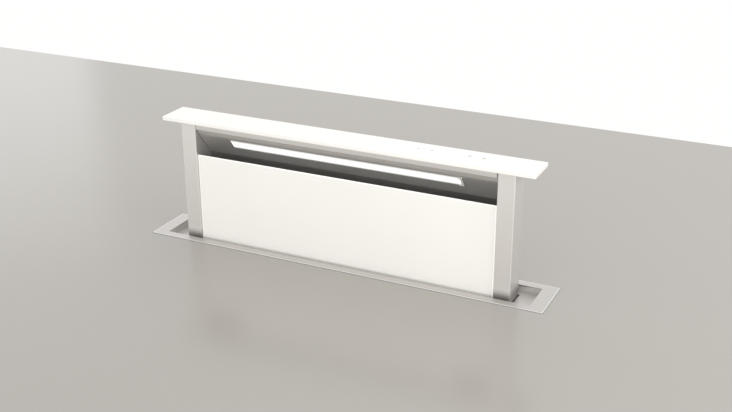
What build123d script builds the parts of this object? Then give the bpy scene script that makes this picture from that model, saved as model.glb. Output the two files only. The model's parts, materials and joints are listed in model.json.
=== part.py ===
from build123d import *
from math import acos, cos, degrees, hypot, pi, radians, sin, tan
import os

# A downdraft vent for a kitchen worktop: a glass-fronted intake that rises out of a flush flange,
# and the housing, lift drive and blower that hang below it.
# Millimetres. Z=0 is the worktop's surface, X runs along the vent and -Y is the cook's side.
# The vent is drawn raised. Its origin is the middle of the worktop's cut-out.

# ---- driving sizes: cap, flange and travel ----
CAP_LENGTH = 831.0
CAP_WIDTH = 77.0
CAP_THICKNESS = 8.3
CAP_CORNER = 1.5
CAP_EDGE = 0.7
CAP_END_GAP = 3.5
CAP_SIDE_GAP = 1.5
CAP_END_OVERHANG = 41.0
CAP_FRONT_OVERHANG = 8.8
RIM_SHEET = 1.5
RIM_END = 31.0
RIM_SIDE = 18.75
RIM_CORNER = 2.0
RECESS_DEPTH = 16.0
SLOT_GAP = 2.5
LIFT_RISE = 268.0
RIM_EDGE = 0.3
SLOT_CORNER = 3.0
TRAY_SHEET = 1.5
TRAY_INSET = 8.0
BUMPER_RADIUS = 6.0
BUMPER_TIP_RADIUS = 4.2
BUMPER_GAP = 0.3
BUMPER_IN_FROM_END = 15.0
BUMPER_SPACING = 18.0

# ---- driving sizes: columns, rail and light ----
SHEET = 1.2
COLUMN_WIDTH = 35.2
COLUMN_DEPTH = 55.3
COLUMN_BEND = 2.0
RAIL_HEIGHT = 13.4
RAIL_DEPTH = 16.0
RAIL_BEND = 1.0
RAIL_END_GAP = 1.6
LIGHT_PANEL_DROP = 65.4
LIGHT_PANEL_LIP = 12.0
LIGHT_BEND_RADIUS = 53.0
LENS_LENGTH = 524.5
LENS_WIDTH = 26.7
LENS_DOWN_SLOPE = 22.8
LENS_PROUD = 0.6
LENS_FLANGE = 1.5
LENS_GAP = 0.2
LIGHT_CAP_LENGTH = 11.0
LIGHT_CAP_WALL = 5.0
LIGHT_CAP_RIM = 0.6
LIGHT_CAP_CORNER = 6.0
LIGHT_CAP_THICKNESS = 1.0
LIGHT_BOX_DEPTH = 12.0
LIGHT_BOX_WALL_GAP = 0.5
LED_COUNT = 22
LED_SIZE = 3.0
LED_HEIGHT = 1.0
LED_BOARD_WIDTH = 16.0
BOARD_THICKNESS = 1.6
TOUCH_BOARD_LENGTH = 170.0
TOUCH_BOARD_WIDTH = 30.0
TOUCH_BOARD_X = 230.0
TOUCH_BOARD_Y = 6.0
TOUCH_SOCKET_LENGTH = 24.0
TOUCH_SOCKET_WIDTH = 8.0
TOUCH_SOCKET_DEPTH = 5.0
TOUCH_BOARD_GAP = 1.0

# ---- driving sizes: front glass and its hooks ----
INTAKE_GAP = 58.3
GLASS_SETBACK = 4.0
GLASS_THICKNESS = 4.0
GLASS_HEIGHT = 247.5
GLASS_SIDE_GAP = 0.8
GLASS_EDGE = 0.5
GLASS_LIFT = 12.0
HOOK_SHEET = 2.0
HOOK_FOOT_SHEET = 1.5
HOOK_FOOT_WIDTH = 18.0
HOOK_HEIGHT = 30.0
HOOK_CORNER = 1.5
HOOK_EAR_DEPTH = 13.0
HOOK_STUD_RADIUS = 3.0
HOOK_STUD_HEAD_RADIUS = 5.0
HOOK_STUD_HEAD = 1.5
HOOK_SLOT_GAP = 0.1
HOOK_STUD_BEHIND_GLASS = 7.5
HOOK_EAR_FROM_COLUMN = 5.0
HOOK_HEIGHTS = (35.0, 145.0)

# ---- driving sizes: back panel, filters and latches ----
BACK_PANEL_FOOT = -60.0
BACK_PANEL_RETURN = 9.0
FILTER_HEIGHT = 200.0
FILTER_THICKNESS = 10.0
FILTER_BORDER = 14.0
FILTER_CORNER = 3.0
FILTER_LEAN = 8.0
FILTER_MIDDLE_GAP = 2.0
FILTER_SIDE_GAP = 2.0
FILTER_TOP_GAP = 1.1
FILTER_FOOT_CLEARANCE = 0.4
MESH_PITCH = 12.0
MESH_RISE = 5.0
MESH_THICKNESS = 1.0
TROUGH_Z = -52.0
TROUGH_FRONT_WALL = 18.0
TROUGH_BACK_WALL = 9.0
TROUGH_SLACK = 1.0
LATCH_ROD_RADIUS = 2.5
LATCH_RUNNING_GAP = 0.08
LATCH_ENGAGE = 3.0
LATCH_TRAVEL = 5.5
LATCH_ROD_LENGTH = 38.0
LATCH_STEM_WIDTH = 4.0
LATCH_STEM_FROM_END = 16.0
LATCH_KNOB_RADIUS = 4.5
LATCH_KNOB_PROUD = 6.0
LATCH_KNOB_EDGE = 0.8
LATCH_KNOB_GAP = 0.5
LATCH_SLOT_GAP = 0.5

# ---- driving sizes: lift drive ----
GEAR_MODULE = 1.25
PRESSURE_ANGLE = 20.0
PINION_TEETH = 18
GEAR_BACKLASH = 0.12
GEAR_ROOT = 1.25 * GEAR_MODULE
FLANK_STEPS = 4
PINION_WIDTH = 9.0
PINION_GAP = 0.5
PINION_HUB_RADIUS = 8.0
PINION_HUB_LENGTH = 6.0
RACK_WIDTH = 10.0
RACK_BACK_Y = 11.0
RACK_TOP_GAP = 2.0
RACK_END_MARGIN = 8.0
SHAFT_RADIUS = 5.0
SHAFT_RUNNING_GAP = 0.05
SHAFT_Y = 33.0
SHAFT_CHAMFER = 0.6
SHAFT_END_INSET = 8.0
BEARING_WIDTH = 14.0
BEARING_HEIGHT = 30.0
BEARING_FRONT_WALL = 1.4
BEARING_IN_FROM_COLUMN = 10.0
COLUMN_BELOW_RACK = 2.0
CROSSMEMBER_HEIGHT = 22.0
CROSSMEMBER_DEPTH = 24.0
GEARBOX_HEIGHT = 44.0
GEARBOX_DEPTH = 40.0
GEARBOX_BEHIND_SHAFT = 11.6
GEARBOX_GAP = 0.8
GEARBOX_CORNER = 4.0
LIFT_MOTOR_RADIUS = 15.0
LIFT_MOTOR_LENGTH = 78.0
LIFT_MOTOR_Y = 20.5
LIFT_MOTOR_ROUND = 2.0
LIFT_MOTOR_NECK_RADIUS = 12.0
LIFT_MOTOR_NECK = 6.0
LIFT_MOTOR_END_RADIUS = 6.8
LIFT_MOTOR_END = 5.0

# ---- driving sizes: guide rails and rollers ----
ROLLER_RADIUS = 10.0
ROLLER_WIDTH = 8.0
ROLLER_RUNNING_GAP = 0.05
ROLLER_SIDE_GAP = 0.3
ROLLER_DISH = 1.2
ROLLER_DISH_SLOPE = 0.5
ROLLER_HUB_WALL = 2.0
ROLLER_TREAD_WALL = 1.5
ROLLER_EDGE = 0.5
STUD_RADIUS = 4.0
STUD_HEAD_RADIUS = 6.0
STUD_HEAD = 1.5
STUD_COLLAR_LENGTH = 14.0
GUIDE_Y = -9.0
GUIDE_SHEET = 1.5
GUIDE_CLEARANCE = 0.4
GUIDE_MOUTH = 13.0
GUIDE_END_ROOM = 20.0
UPPER_ROLLER_Z = -60.0
LOWER_ROLLER_UP = 18.0

# ---- driving sizes: housing ----
END_ROOM = 49.3
HOUSING_DEPTH = 96.0
BASE_CLEARANCE = 48.0
WALL_RETURN = 10.0
BASE_LIP = 15.0
BEAD_RADIUS = 4.0
BEAD_RISE = 2.0
BEAD_SETBACK = 60.0
BEAD_HEIGHTS = (-110.0, -210.0, -400.0, -520.0)
FLOOR_HEIGHT = 30.0
BRACKET_SHEET = 2.5
BRACKET_WIDTH = 60.0
BRACKET_FOOT = 40.0
BRACKET_RISE = 110.0
BRACKET_SLOT_LENGTH = 60.0
BRACKET_SLOT_WIDTH = 7.0
BRACKET_SLOT_SPACING = 30.0
BRACKET_SLOT_FROM_TOP = 12.0
BRACKET_CORNER = 1.0
FLOOR_BOLT_RADIUS = 4.0
FLOOR_BOLT_OUT = 24.0
FLOOR_BOLT_SPACING = 36.0
CLAMP_SHEET = 2.0
CLAMP_WIDTH = 30.0
CLAMP_HEIGHT = 50.0
CLAMP_REACH = 32.0
CLAMP_ARM_DROP = 62.0
CLAMP_SCREW_RADIUS = 3.0
CLAMP_SCREW_TAIL = 22.0
CLAMP_HEAD_RADIUS = 6.0
CLAMP_HEAD = 4.0
CLAMP_ARM_MARGIN = 2.0
CLAMP_PAD_RADIUS = 9.0
CLAMP_PAD = 4.0
WORKTOP_THICKNESS = 30.0

# ---- driving sizes: blower ----
FAN_RADIUS = 84.0
FAN_EYE_RADIUS = 69.0
FAN_DEPTH = 76.0
FAN_BLADE_COUNT = 26
FAN_PLATE = 1.5
FAN_SHROUD = 3.0
BLADE_THICKNESS = 1.0
BLADE_SWEEP_ANGLE = 9.0
BLADE_INSET = 1.0
BLADE_BEND_SHARE = 0.6
BLADE_BEND_ANGLE = 1.8
FAN_HUB_RADIUS = 14.0
FAN_HUB_LENGTH = 26.0
FAN_SHAFT_RADIUS = 4.0
FAN_SHAFT_INTO_MOTOR = 30.0
FAN_SHAFT_NOSE = 4.0
FAN_SHAFT_END_GAP = 1.0
SCROLL_GAP = 8.0
SCROLL_GROWTH = 46.0
SCROLL_TONGUE_ANGLE = 55.0
SCROLL_WALL = 2.0
SCROLL_SIDE_GAP = 5.0
SCROLL_STRAIGHT = 105.0
SCROLL_POINTS = 12
SPIGOT_RADIUS = 73.0
SPIGOT_SETBACK = 40.0
SPIGOT_STRAIGHT = 12.0
SPIGOT_HOLE_GAP = 0.5
INLET_RADIUS = 72.0
FAN_MOTOR_RADIUS = 46.0
FAN_MOTOR_LENGTH = 58.0
FAN_MOTOR_FLANGE_RADIUS = 62.0
FAN_MOTOR_FLANGE = 3.0
FAN_MOTOR_ROUND = 5.0
FAN_MOTOR_BOSS_RADIUS = 16.0
FAN_MOTOR_BOSS = 8.0
BLOWER_BOX_WIDTH = 350.0
BLOWER_BOX_HEIGHT = 322.0
BLOWER_BOX_DEPTH = 212.0
BLOWER_BOX_LIP = 14.0
BLOWER_BOX_CORNER = 3.0
COVER_EDGE = 10.0
COVER_EMBOSS = 4.0
COVER_CORNER = 4.0
COVER_EMBOSS_CORNER = 10.0
COVER_EMBOSS_SLOPE = 2.4
COVER_EMBOSS_WALL = 4.0
SCROLL_FLOOR_GAP = 6.0

# ---- driving sizes: outlet collar and damper ----
COLLAR_RADIUS = 74.5
COLLAR_WALL = 2.0
COLLAR_LENGTH = 50.0
COLLAR_FLANGE_RADIUS = 86.0
COLLAR_FLANGE = 3.0
DAMPER_PIN_RADIUS = 1.5
DAMPER_PIN_OUT = 15.0
DAMPER_RUNNING_GAP = 0.05
DAMPER_SHEET = 1.2
DAMPER_BARREL_RADIUS = 3.2
DAMPER_BARREL_GAP = 0.5
DAMPER_EDGE_GAP = 1.0
DAMPER_KNUCKLE = 28.0
DAMPER_KNUCKLE_GAP = 2.0
DAMPER_STOP = 2.5
DAMPER_STOP_GAP = 0.3
COLLAR_BOND = 0.5

# ---- driving sizes: control box and feet ----
CONTROL_LENGTH = 170.0
CONTROL_HEIGHT = 110.0
CONTROL_DEPTH = 46.0
CONTROL_WALL = 2.0
CONTROL_LID = 8.0
CONTROL_FROM_END = 50.0
CONTROL_TOP_Z = -90.0
CONTROL_CORNER = 6.0
GLAND_RADIUS = 11.0
GLAND_BORE = 4.0
GLAND_LENGTH = 20.0
GLAND_NUT = 9.0
GLAND_DOME_RADIUS = 8.8
GLAND_DOME_ROUND = 3.0
GLAND_THREAD_RADIUS = 6.6
GLAND_THREAD_GAP = 0.1
GLAND_THREAD_INSIDE = 4.0
FOOT_PAD_RADIUS = 18.0
FOOT_PAD = 8.0
FOOT_PAD_TOP_RADIUS = 12.6
FOOT_NUT_RADIUS = 7.5
FOOT_NUT = 5.0
FOOT_STUD_RADIUS = 4.0
FOOT_INSET_X = 35.0
FOOT_INSET_Y = 22.0

# how far a cut runs past the face it opens
OVERRUN = 1.0

# ---- places worked out from the sizes ----
cap_half = CAP_LENGTH / 2
cap_front = -CAP_WIDTH / 2
cap_top = RIM_SHEET + LIFT_RISE
cap_bottom = cap_top - CAP_THICKNESS
tray_bottom = cap_bottom - TRAY_SHEET
recess_half = cap_half + CAP_END_GAP
recess_side = CAP_WIDTH / 2 + CAP_SIDE_GAP
recess_floor = RIM_SHEET - RECESS_DEPTH
pan_bottom = recess_floor - RIM_SHEET

column_outer = cap_half - CAP_END_OVERHANG
column_inner = column_outer - COLUMN_WIDTH
column_front = cap_front + CAP_FRONT_OVERHANG
column_back = column_front + COLUMN_DEPTH
rail_bottom = tray_bottom + TRAY_SHEET - RAIL_HEIGHT
glass_top = rail_bottom - INTAKE_GAP
glass_face = column_front + GLASS_SETBACK
glass_back = glass_face + GLASS_THICKNESS
back_panel_face = column_back - SHEET

gear_pitch_radius = GEAR_MODULE * PINION_TEETH / 2
gear_outer_radius = gear_pitch_radius + GEAR_MODULE
gear_pitch = pi * GEAR_MODULE
rack_line = SHAFT_Y - gear_pitch_radius
rack_top = pan_bottom - RACK_TOP_GAP
shaft_z = rack_top - LIFT_RISE - RACK_END_MARGIN
rack_bottom = shaft_z - RACK_END_MARGIN
column_bottom = rack_bottom - COLUMN_BELOW_RACK

housing_half = column_outer + END_ROOM + SHEET
housing_side = HOUSING_DEPTH / 2
inner_half = housing_half - SHEET
inner_side = housing_side - SHEET
housing_bottom = column_bottom - LIFT_RISE - BASE_CLEARANCE
floor_z = housing_bottom - FLOOR_HEIGHT

fan_side = FAN_RADIUS + SCROLL_GAP
scroll_top = fan_side + SCROLL_GROWTH
scroll_turn = 360.0 - SCROLL_TONGUE_ANGLE
scroll_below = fan_side + SCROLL_GROWTH * (180.0 - SCROLL_TONGUE_ANGLE) / scroll_turn
fan_z = housing_bottom + SHEET + SCROLL_FLOOR_GAP + scroll_below + SCROLL_WALL
scroll_back = -housing_side - SCROLL_WALL
fan_front = scroll_back - SCROLL_SIDE_GAP - FAN_SHROUD - FAN_DEPTH
scroll_front = fan_front - FAN_PLATE - SCROLL_SIDE_GAP
tongue_z = fan_side * cos(radians(SCROLL_TONGUE_ANGLE))
outlet_middle = (scroll_top + tongue_z) / 2
outlet_y = (scroll_back + scroll_front) / 2 - SPIGOT_SETBACK
outlet_z = fan_z + outlet_middle
box_half = BLOWER_BOX_WIDTH / 2
box_front = -housing_side - BLOWER_BOX_DEPTH
box_top = housing_bottom + BLOWER_BOX_HEIGHT
damper_x = box_half + DAMPER_PIN_OUT
damper_radius = COLLAR_RADIUS - COLLAR_WALL - DAMPER_EDGE_GAP


# ---- drawing helpers ----
def block(x0, x1, y0, y1, z0, z1):
    """A box between two corners."""
    middle = Pos((x0 + x1) / 2, (y0 + y1) / 2, (z0 + z1) / 2)
    return middle * Box(x1 - x0, y1 - y0, z1 - z0)


def rod(radius, start, end):
    """A round bar between two points."""
    along = Vector(*end) - Vector(*start)
    bar = Cylinder(radius, along.length, align=(Align.CENTER, Align.CENTER, Align.MIN))
    return Plane(origin=start, z_dir=along) * bar


def prism_x(outline, x0, x1):
    """A (y, z) outline drawn out along X."""
    face = Face(Wire.make_polygon([(x0, y, z) for y, z in outline]))
    return Solid.extrude(face, Vector(x1 - x0, 0, 0))


def turned_x(outline, x0, y, z):
    """An (along, radius) outline turned about an axis along X, through (x0, y, z)."""
    points = [(along, 0, radius) for along, radius in outline]
    face = Face(Wire.make_polygon(points))
    return Pos(x0, y, z) * revolve(face, Axis.X, 360)


def rounded(shape, axis, radius):
    """Round the edges that run along one axis."""
    return fillet(shape.edges().filter_by(axis), radius)


def mirrored(shape):
    """The left-hand twin of a right-hand piece."""
    return mirror(shape, about=Plane.YZ)


def write(name, *solids):
    """Write one sub-part, which may be several alike solids."""
    found = [s for shape in solids for s in shape.solids()]
    export_step(found[0] if len(found) == 1 else Compound(children=found), f"parts/{name}.step")


# ---- cap ----
def cap_glass():
    glass = block(-cap_half, cap_half, cap_front, -cap_front, cap_bottom, cap_top)
    glass = rounded(glass, Axis.Z, CAP_CORNER)
    return fillet(glass.edges().group_by(Axis.Z)[-1] + glass.edges().group_by(Axis.Z)[0], CAP_EDGE)


def touch_board_outline(margin):
    half = TOUCH_BOARD_LENGTH / 2 + margin
    side = TOUCH_BOARD_WIDTH / 2 + margin
    return TOUCH_BOARD_X - half, TOUCH_BOARD_X + half, TOUCH_BOARD_Y - side, TOUCH_BOARD_Y + side


def cap_tray():
    half = cap_half - TRAY_INSET
    side = -cap_front - TRAY_INSET
    tray = block(-half, half, -side, side, tray_bottom, cap_bottom)
    tray = rounded(tray, Axis.Z, CAP_CORNER)
    return tray - block(*touch_board_outline(TOUCH_BOARD_GAP), tray_bottom, cap_bottom)


def touch_board():
    under = cap_bottom - BOARD_THICKNESS
    board = block(*touch_board_outline(0), under, cap_bottom)
    half = TOUCH_SOCKET_LENGTH / 2
    side = TOUCH_SOCKET_WIDTH / 2
    return board + block(TOUCH_BOARD_X - half, TOUCH_BOARD_X + half, TOUCH_BOARD_Y - side,
                         TOUCH_BOARD_Y + side, under - TOUCH_SOCKET_DEPTH, under)


def cap_bumpers():
    rest = recess_floor + LIFT_RISE + BUMPER_GAP
    x = cap_half - BUMPER_IN_FROM_END
    bumpers = []
    for side in (-x, x):
        for y in (-BUMPER_SPACING / 2, BUMPER_SPACING / 2):
            cone = Cone(BUMPER_TIP_RADIUS, BUMPER_RADIUS, tray_bottom - rest,
                        align=(Align.CENTER, Align.CENTER, Align.MIN))
            bumpers.append(Pos(side, y, rest) * cone)
    return bumpers


# ---- columns and rail ----
def latch_place():
    """Where the filter latch's rod runs: its (y, z), the same on both filters."""
    up = FILTER_HEIGHT - FILTER_BORDER / 2
    lean = radians(FILTER_LEAN)
    return filter_foot_y() + up * sin(lean), filter_foot_z() + up * cos(lean)


def right_column():
    tube = block(column_inner, column_outer, column_front, column_back, column_bottom, tray_bottom)
    tube = rounded(tube, Axis.Z, COLUMN_BEND)
    hollow = block(column_inner + SHEET, column_outer - SHEET, column_front + SHEET,
                   column_back - SHEET, column_bottom, tray_bottom)
    hollow = rounded(hollow, Axis.Z, COLUMN_BEND - SHEET)
    y, z = latch_place()
    keeper_hole = rod(LATCH_ROD_RADIUS + LATCH_RUNNING_GAP, (column_inner - OVERRUN, y, z),
                      (column_inner + SHEET + OVERRUN, y, z))
    return tube - hollow - keeper_hole


def top_rail():
    half = column_inner - RAIL_END_GAP
    front = column_front
    back = front + RAIL_DEPTH
    shelf = tray_bottom - SHEET
    web = block(-half, half, front, front + SHEET, rail_bottom, tray_bottom)
    web = web + block(-half, half, front, back, shelf, tray_bottom)
    bends = [e for e in web.edges().filter_by(Axis.X) if e.center().Y < front + SHEET / 2]
    return fillet(bends, RAIL_BEND)


# ---- sloped light panel ----
slope_top_y = column_front + SHEET
slope_run = back_panel_face - slope_top_y
slope_length = hypot(slope_run, LIGHT_PANEL_DROP)
slope_foot_z = rail_bottom - LIGHT_PANEL_DROP
# local frame of the panel: x along the vent, y down the slope, z away from the cook
slope = Plane(origin=(0, slope_top_y, rail_bottom), x_dir=(1, 0, 0),
              z_dir=(0, LIGHT_PANEL_DROP, slope_run))
lens_middle = LENS_DOWN_SLOPE + LENS_WIDTH / 2
light_box_side = LENS_WIDTH / 2 + LENS_FLANGE + LIGHT_BOX_WALL_GAP
light_box_half = LENS_LENGTH / 2 + LENS_FLANGE + LIGHT_BOX_WALL_GAP


def slope_height(y, depth):
    """Height of the panel's straight part at a place across the vent and a depth behind its face."""
    return rail_bottom + (depth * slope_length - (y - slope_top_y) * LIGHT_PANEL_DROP) / slope_run


def behind_panel(depth, x0, x1, top):
    """All that lies behind the light panel, from a depth behind its face, with its bend on top."""
    front = slope_top_y + depth
    high = rail_bottom + LIGHT_BEND_RADIUS
    outline = [(front, high), (back_panel_face, high),
               (back_panel_face, slope_height(back_panel_face, depth)),
               (front, slope_height(front, depth))]
    solid = prism_x(outline, x0, x1)
    corner = solid.edges().filter_by(Axis.X).group_by(Axis.Y)[0].sort_by(Axis.Z)[0]
    solid = fillet(corner, LIGHT_BEND_RADIUS - depth)
    return solid - block(x0 - OVERRUN, x1 + OVERRUN, front - OVERRUN, back_panel_face + OVERRUN,
                         top, high + OVERRUN)


def sloped_panel():
    half = column_inner - RAIL_END_GAP
    under_rail = tray_bottom - SHEET
    panel = behind_panel(0, -half, half, under_rail) - behind_panel(SHEET, -half, half, under_rail)
    lip = block(-half, half, back_panel_face - SHEET, back_panel_face,
                slope_foot_z - LIGHT_PANEL_LIP, slope_foot_z + SHEET)
    wall = SHEET
    outer = block(-light_box_half - wall, light_box_half + wall, lens_middle - light_box_side - wall,
                  lens_middle + light_box_side + wall, SHEET, LIGHT_BOX_DEPTH)
    inner = block(-light_box_half, light_box_half, lens_middle - light_box_side,
                  lens_middle + light_box_side, SHEET, LIGHT_BOX_DEPTH - wall)
    slot = block(-LENS_LENGTH / 2 - LENS_GAP, LENS_LENGTH / 2 + LENS_GAP,
                 LENS_DOWN_SLOPE - LENS_GAP, LENS_DOWN_SLOPE + LENS_WIDTH + LENS_GAP, 0, SHEET)
    return panel + lip + slope * (outer - inner) - slope * slot


def led_lens():
    window = block(-LENS_LENGTH / 2, LENS_LENGTH / 2, LENS_DOWN_SLOPE,
                   LENS_DOWN_SLOPE + LENS_WIDTH, -LENS_PROUD, SHEET)
    flange = block(-LENS_LENGTH / 2 - LENS_FLANGE, LENS_LENGTH / 2 + LENS_FLANGE,
                   LENS_DOWN_SLOPE - LENS_FLANGE, LENS_DOWN_SLOPE + LENS_WIDTH + LENS_FLANGE,
                   SHEET, 2 * SHEET)
    return slope * (window + flange)


def light_end_cap():
    """The clear cap on the light's right end, cut out round the window's round corners."""
    right = LENS_LENGTH / 2
    foot = LENS_DOWN_SLOPE + LENS_WIDTH
    near = -LENS_PROUD - LIGHT_CAP_THICKNESS
    cap = block(right - LIGHT_CAP_LENGTH, right, LENS_DOWN_SLOPE, foot, near, -LENS_PROUD)
    window = block(right - 2 * LIGHT_CAP_LENGTH, right - LIGHT_CAP_WALL,
                   LENS_DOWN_SLOPE + LIGHT_CAP_RIM, foot - LIGHT_CAP_RIM, near, -LENS_PROUD)
    return slope * (cap - rounded(window, Axis.Z, LIGHT_CAP_CORNER))


def led_board():
    back = LIGHT_BOX_DEPTH - SHEET
    front = back - BOARD_THICKNESS
    board = block(-LENS_LENGTH / 2, LENS_LENGTH / 2, lens_middle - LED_BOARD_WIDTH / 2,
                  lens_middle + LED_BOARD_WIDTH / 2, front, back)
    pitch = LENS_LENGTH / LED_COUNT
    for i in range(LED_COUNT):
        x = (i - (LED_COUNT - 1) / 2) * pitch
        board += block(x - LED_SIZE / 2, x + LED_SIZE / 2, lens_middle - LED_SIZE / 2,
                       lens_middle + LED_SIZE / 2, front - LED_HEIGHT, front)
    return slope * board


def light_end_plate():
    """The triangular cheek that closes one end of the light's housing."""
    return behind_panel(SHEET, column_inner - RAIL_END_GAP, column_inner, tray_bottom)


# ---- back panel, trough and filters ----
def back_panel():
    wall = block(-column_inner, column_inner, back_panel_face, column_back,
                 BACK_PANEL_FOOT, tray_bottom)
    foot = block(-column_inner, column_inner, back_panel_face - BACK_PANEL_RETURN, column_back,
                 BACK_PANEL_FOOT, BACK_PANEL_FOOT + SHEET)
    return wall + foot


def filter_foot_z():
    """Height of the filters' lower edge, so that its low corner clears the trough's floor."""
    low_corner = FILTER_THICKNESS / 2 * sin(radians(FILTER_LEAN))
    return TROUGH_Z + SHEET + low_corner + FILTER_FOOT_CLEARANCE


def filter_foot_y():
    """Where the filters stand, so that their leaning tops clear the back panel."""
    lean = radians(FILTER_LEAN)
    reach = FILTER_HEIGHT * sin(lean) + FILTER_THICKNESS / 2 * cos(lean)
    return back_panel_face - FILTER_TOP_GAP - reach


def filter_trough():
    half_thick = FILTER_THICKNESS / 2 / cos(radians(FILTER_LEAN))
    front = filter_foot_y() - half_thick - TROUGH_SLACK
    back = filter_foot_y() + half_thick + TROUGH_SLACK + TROUGH_BACK_WALL * tan(radians(FILTER_LEAN))
    outer = block(-column_inner, column_inner, front - SHEET, back + SHEET, TROUGH_Z,
                  TROUGH_Z + TROUGH_FRONT_WALL)
    inside = block(-column_inner, column_inner, front, back, TROUGH_Z + SHEET,
                   TROUGH_Z + TROUGH_FRONT_WALL)
    lowered = block(-column_inner, column_inner, back, back + SHEET,
                    TROUGH_Z + TROUGH_BACK_WALL, TROUGH_Z + TROUGH_FRONT_WALL)
    return outer - inside - lowered


def filter_frame_plane():
    """The filters' local frame: x along the vent, y towards the back, z up the leaning filter."""
    lean = radians(FILTER_LEAN)
    return Plane(origin=(0, filter_foot_y(), filter_foot_z()), x_dir=(1, 0, 0),
                 z_dir=(0, sin(lean), cos(lean)))


filter_inner = FILTER_MIDDLE_GAP / 2
filter_outer = column_inner - FILTER_SIDE_GAP


def right_filter_frame():
    depth = FILTER_THICKNESS / 2
    edge = block(filter_inner, filter_outer, -depth, depth, 0, FILTER_HEIGHT)
    edge = rounded(edge, Axis.Y, FILTER_CORNER)
    window = block(filter_inner + FILTER_BORDER, filter_outer - FILTER_BORDER, -depth, depth,
                   FILTER_BORDER, FILTER_HEIGHT - FILTER_BORDER)
    rod_z = FILTER_HEIGHT - FILTER_BORDER / 2
    reach = LATCH_ROD_LENGTH + LATCH_TRAVEL
    bore = rod(LATCH_ROD_RADIUS + LATCH_RUNNING_GAP, (filter_outer + OVERRUN, 0, rod_z),
               (filter_outer - reach, 0, rod_z))
    stem_x = filter_outer - LATCH_STEM_FROM_END
    slot_side = LATCH_STEM_WIDTH / 2 + LATCH_SLOT_GAP
    stem_slot = block(stem_x - slot_side - LATCH_TRAVEL, stem_x + slot_side, -depth, 0,
                      rod_z - slot_side, rod_z + slot_side)
    return filter_frame_plane() * (edge - window - bore - stem_slot)


def right_filter_mesh():
    """Folded expanded metal: one zigzag sheet between the frame's borders."""
    x0 = filter_inner + FILTER_BORDER
    x1 = filter_outer - FILTER_BORDER
    folds = 2 * round((x1 - x0) / MESH_PITCH)
    step = (x1 - x0) / folds
    near = [(x0 + i * step, (MESH_RISE if i % 2 else 0) - MESH_RISE / 2) for i in range(folds + 1)]
    far = [(x, y + MESH_THICKNESS) for x, y in reversed(near)]
    face = Face(Wire.make_polygon([(x, y - MESH_THICKNESS / 2, FILTER_BORDER) for x, y in near + far]))
    height = FILTER_HEIGHT - 2 * FILTER_BORDER
    return filter_frame_plane() * Solid.extrude(face, Vector(0, 0, height))


def right_filter_latch():
    depth = FILTER_THICKNESS / 2
    rod_z = FILTER_HEIGHT - FILTER_BORDER / 2
    tip = column_inner + LATCH_ENGAGE
    stem_x = filter_outer - LATCH_STEM_FROM_END
    bolt = rod(LATCH_ROD_RADIUS, (filter_outer - LATCH_ROD_LENGTH, 0, rod_z), (tip, 0, rod_z))
    stem = block(stem_x - LATCH_STEM_WIDTH / 2, stem_x + LATCH_STEM_WIDTH / 2,
                 -depth - 2 * LATCH_KNOB_GAP, 0,
                 rod_z - LATCH_STEM_WIDTH / 2, rod_z + LATCH_STEM_WIDTH / 2)
    knob = rod(LATCH_KNOB_RADIUS, (stem_x, -depth - LATCH_KNOB_PROUD, rod_z),
               (stem_x, -depth - LATCH_KNOB_GAP, rod_z))
    knob = chamfer(knob.edges().group_by(Axis.Y)[0], LATCH_KNOB_EDGE)
    return filter_frame_plane() * (bolt + stem + knob)


def lower_crossmember():
    z0 = column_bottom + SHEET
    z1 = z0 + CROSSMEMBER_HEIGHT
    half_depth = CROSSMEMBER_DEPTH / 2
    channel = block(-column_inner, column_inner, -half_depth, half_depth, z0, z1)
    return channel - block(-column_inner, column_inner, -half_depth, half_depth - SHEET,
                           z0 + SHEET, z1 - SHEET)


# ---- front glass ----
hook_ear_x = column_inner - HOOK_EAR_FROM_COLUMN
hook_stud_y = glass_back + HOOK_STUD_BEHIND_GLASS
# the slot below a stud is as deep as the glass has to rise to come off
hook_below_stud = GLASS_LIFT - HOOK_STUD_RADIUS


def front_glass():
    half = column_inner - GLASS_SIDE_GAP
    glass = block(-half, half, glass_face, glass_back, glass_top - GLASS_HEIGHT, glass_top)
    return chamfer(glass.edges(), GLASS_EDGE)


def glass_hook(stud_z):
    """A bonded angle whose slotted ear hangs on a column's stud."""
    bottom = stud_z - hook_below_stud
    top = bottom + HOOK_HEIGHT
    foot = block(hook_ear_x - HOOK_FOOT_WIDTH, hook_ear_x, glass_back, glass_back + HOOK_FOOT_SHEET,
                 bottom, top)
    ear = block(hook_ear_x - HOOK_SHEET, hook_ear_x, glass_back, glass_back + HOOK_EAR_DEPTH,
                bottom, top)
    ear = rounded(ear, Axis.X, HOOK_CORNER)
    slot_half = HOOK_STUD_RADIUS + HOOK_SLOT_GAP
    x0 = hook_ear_x - HOOK_SHEET - OVERRUN
    x1 = hook_ear_x + OVERRUN
    seat = rod(slot_half, (x0, hook_stud_y, stud_z), (x1, hook_stud_y, stud_z))
    slot = block(x0, x1, hook_stud_y - slot_half, hook_stud_y + slot_half, bottom - OVERRUN, stud_z)
    return foot + ear - seat - slot


def hook_stud(stud_z):
    head_x = hook_ear_x - HOOK_SHEET - HOOK_SLOT_GAP - HOOK_STUD_HEAD
    outline = [(0, 0), (column_inner - head_x, 0), (column_inner - head_x, HOOK_STUD_RADIUS),
               (HOOK_STUD_HEAD, HOOK_STUD_RADIUS), (HOOK_STUD_HEAD, HOOK_STUD_HEAD_RADIUS),
               (0, HOOK_STUD_HEAD_RADIUS)]
    return turned_x(outline, head_x, hook_stud_y, stud_z)


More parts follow.
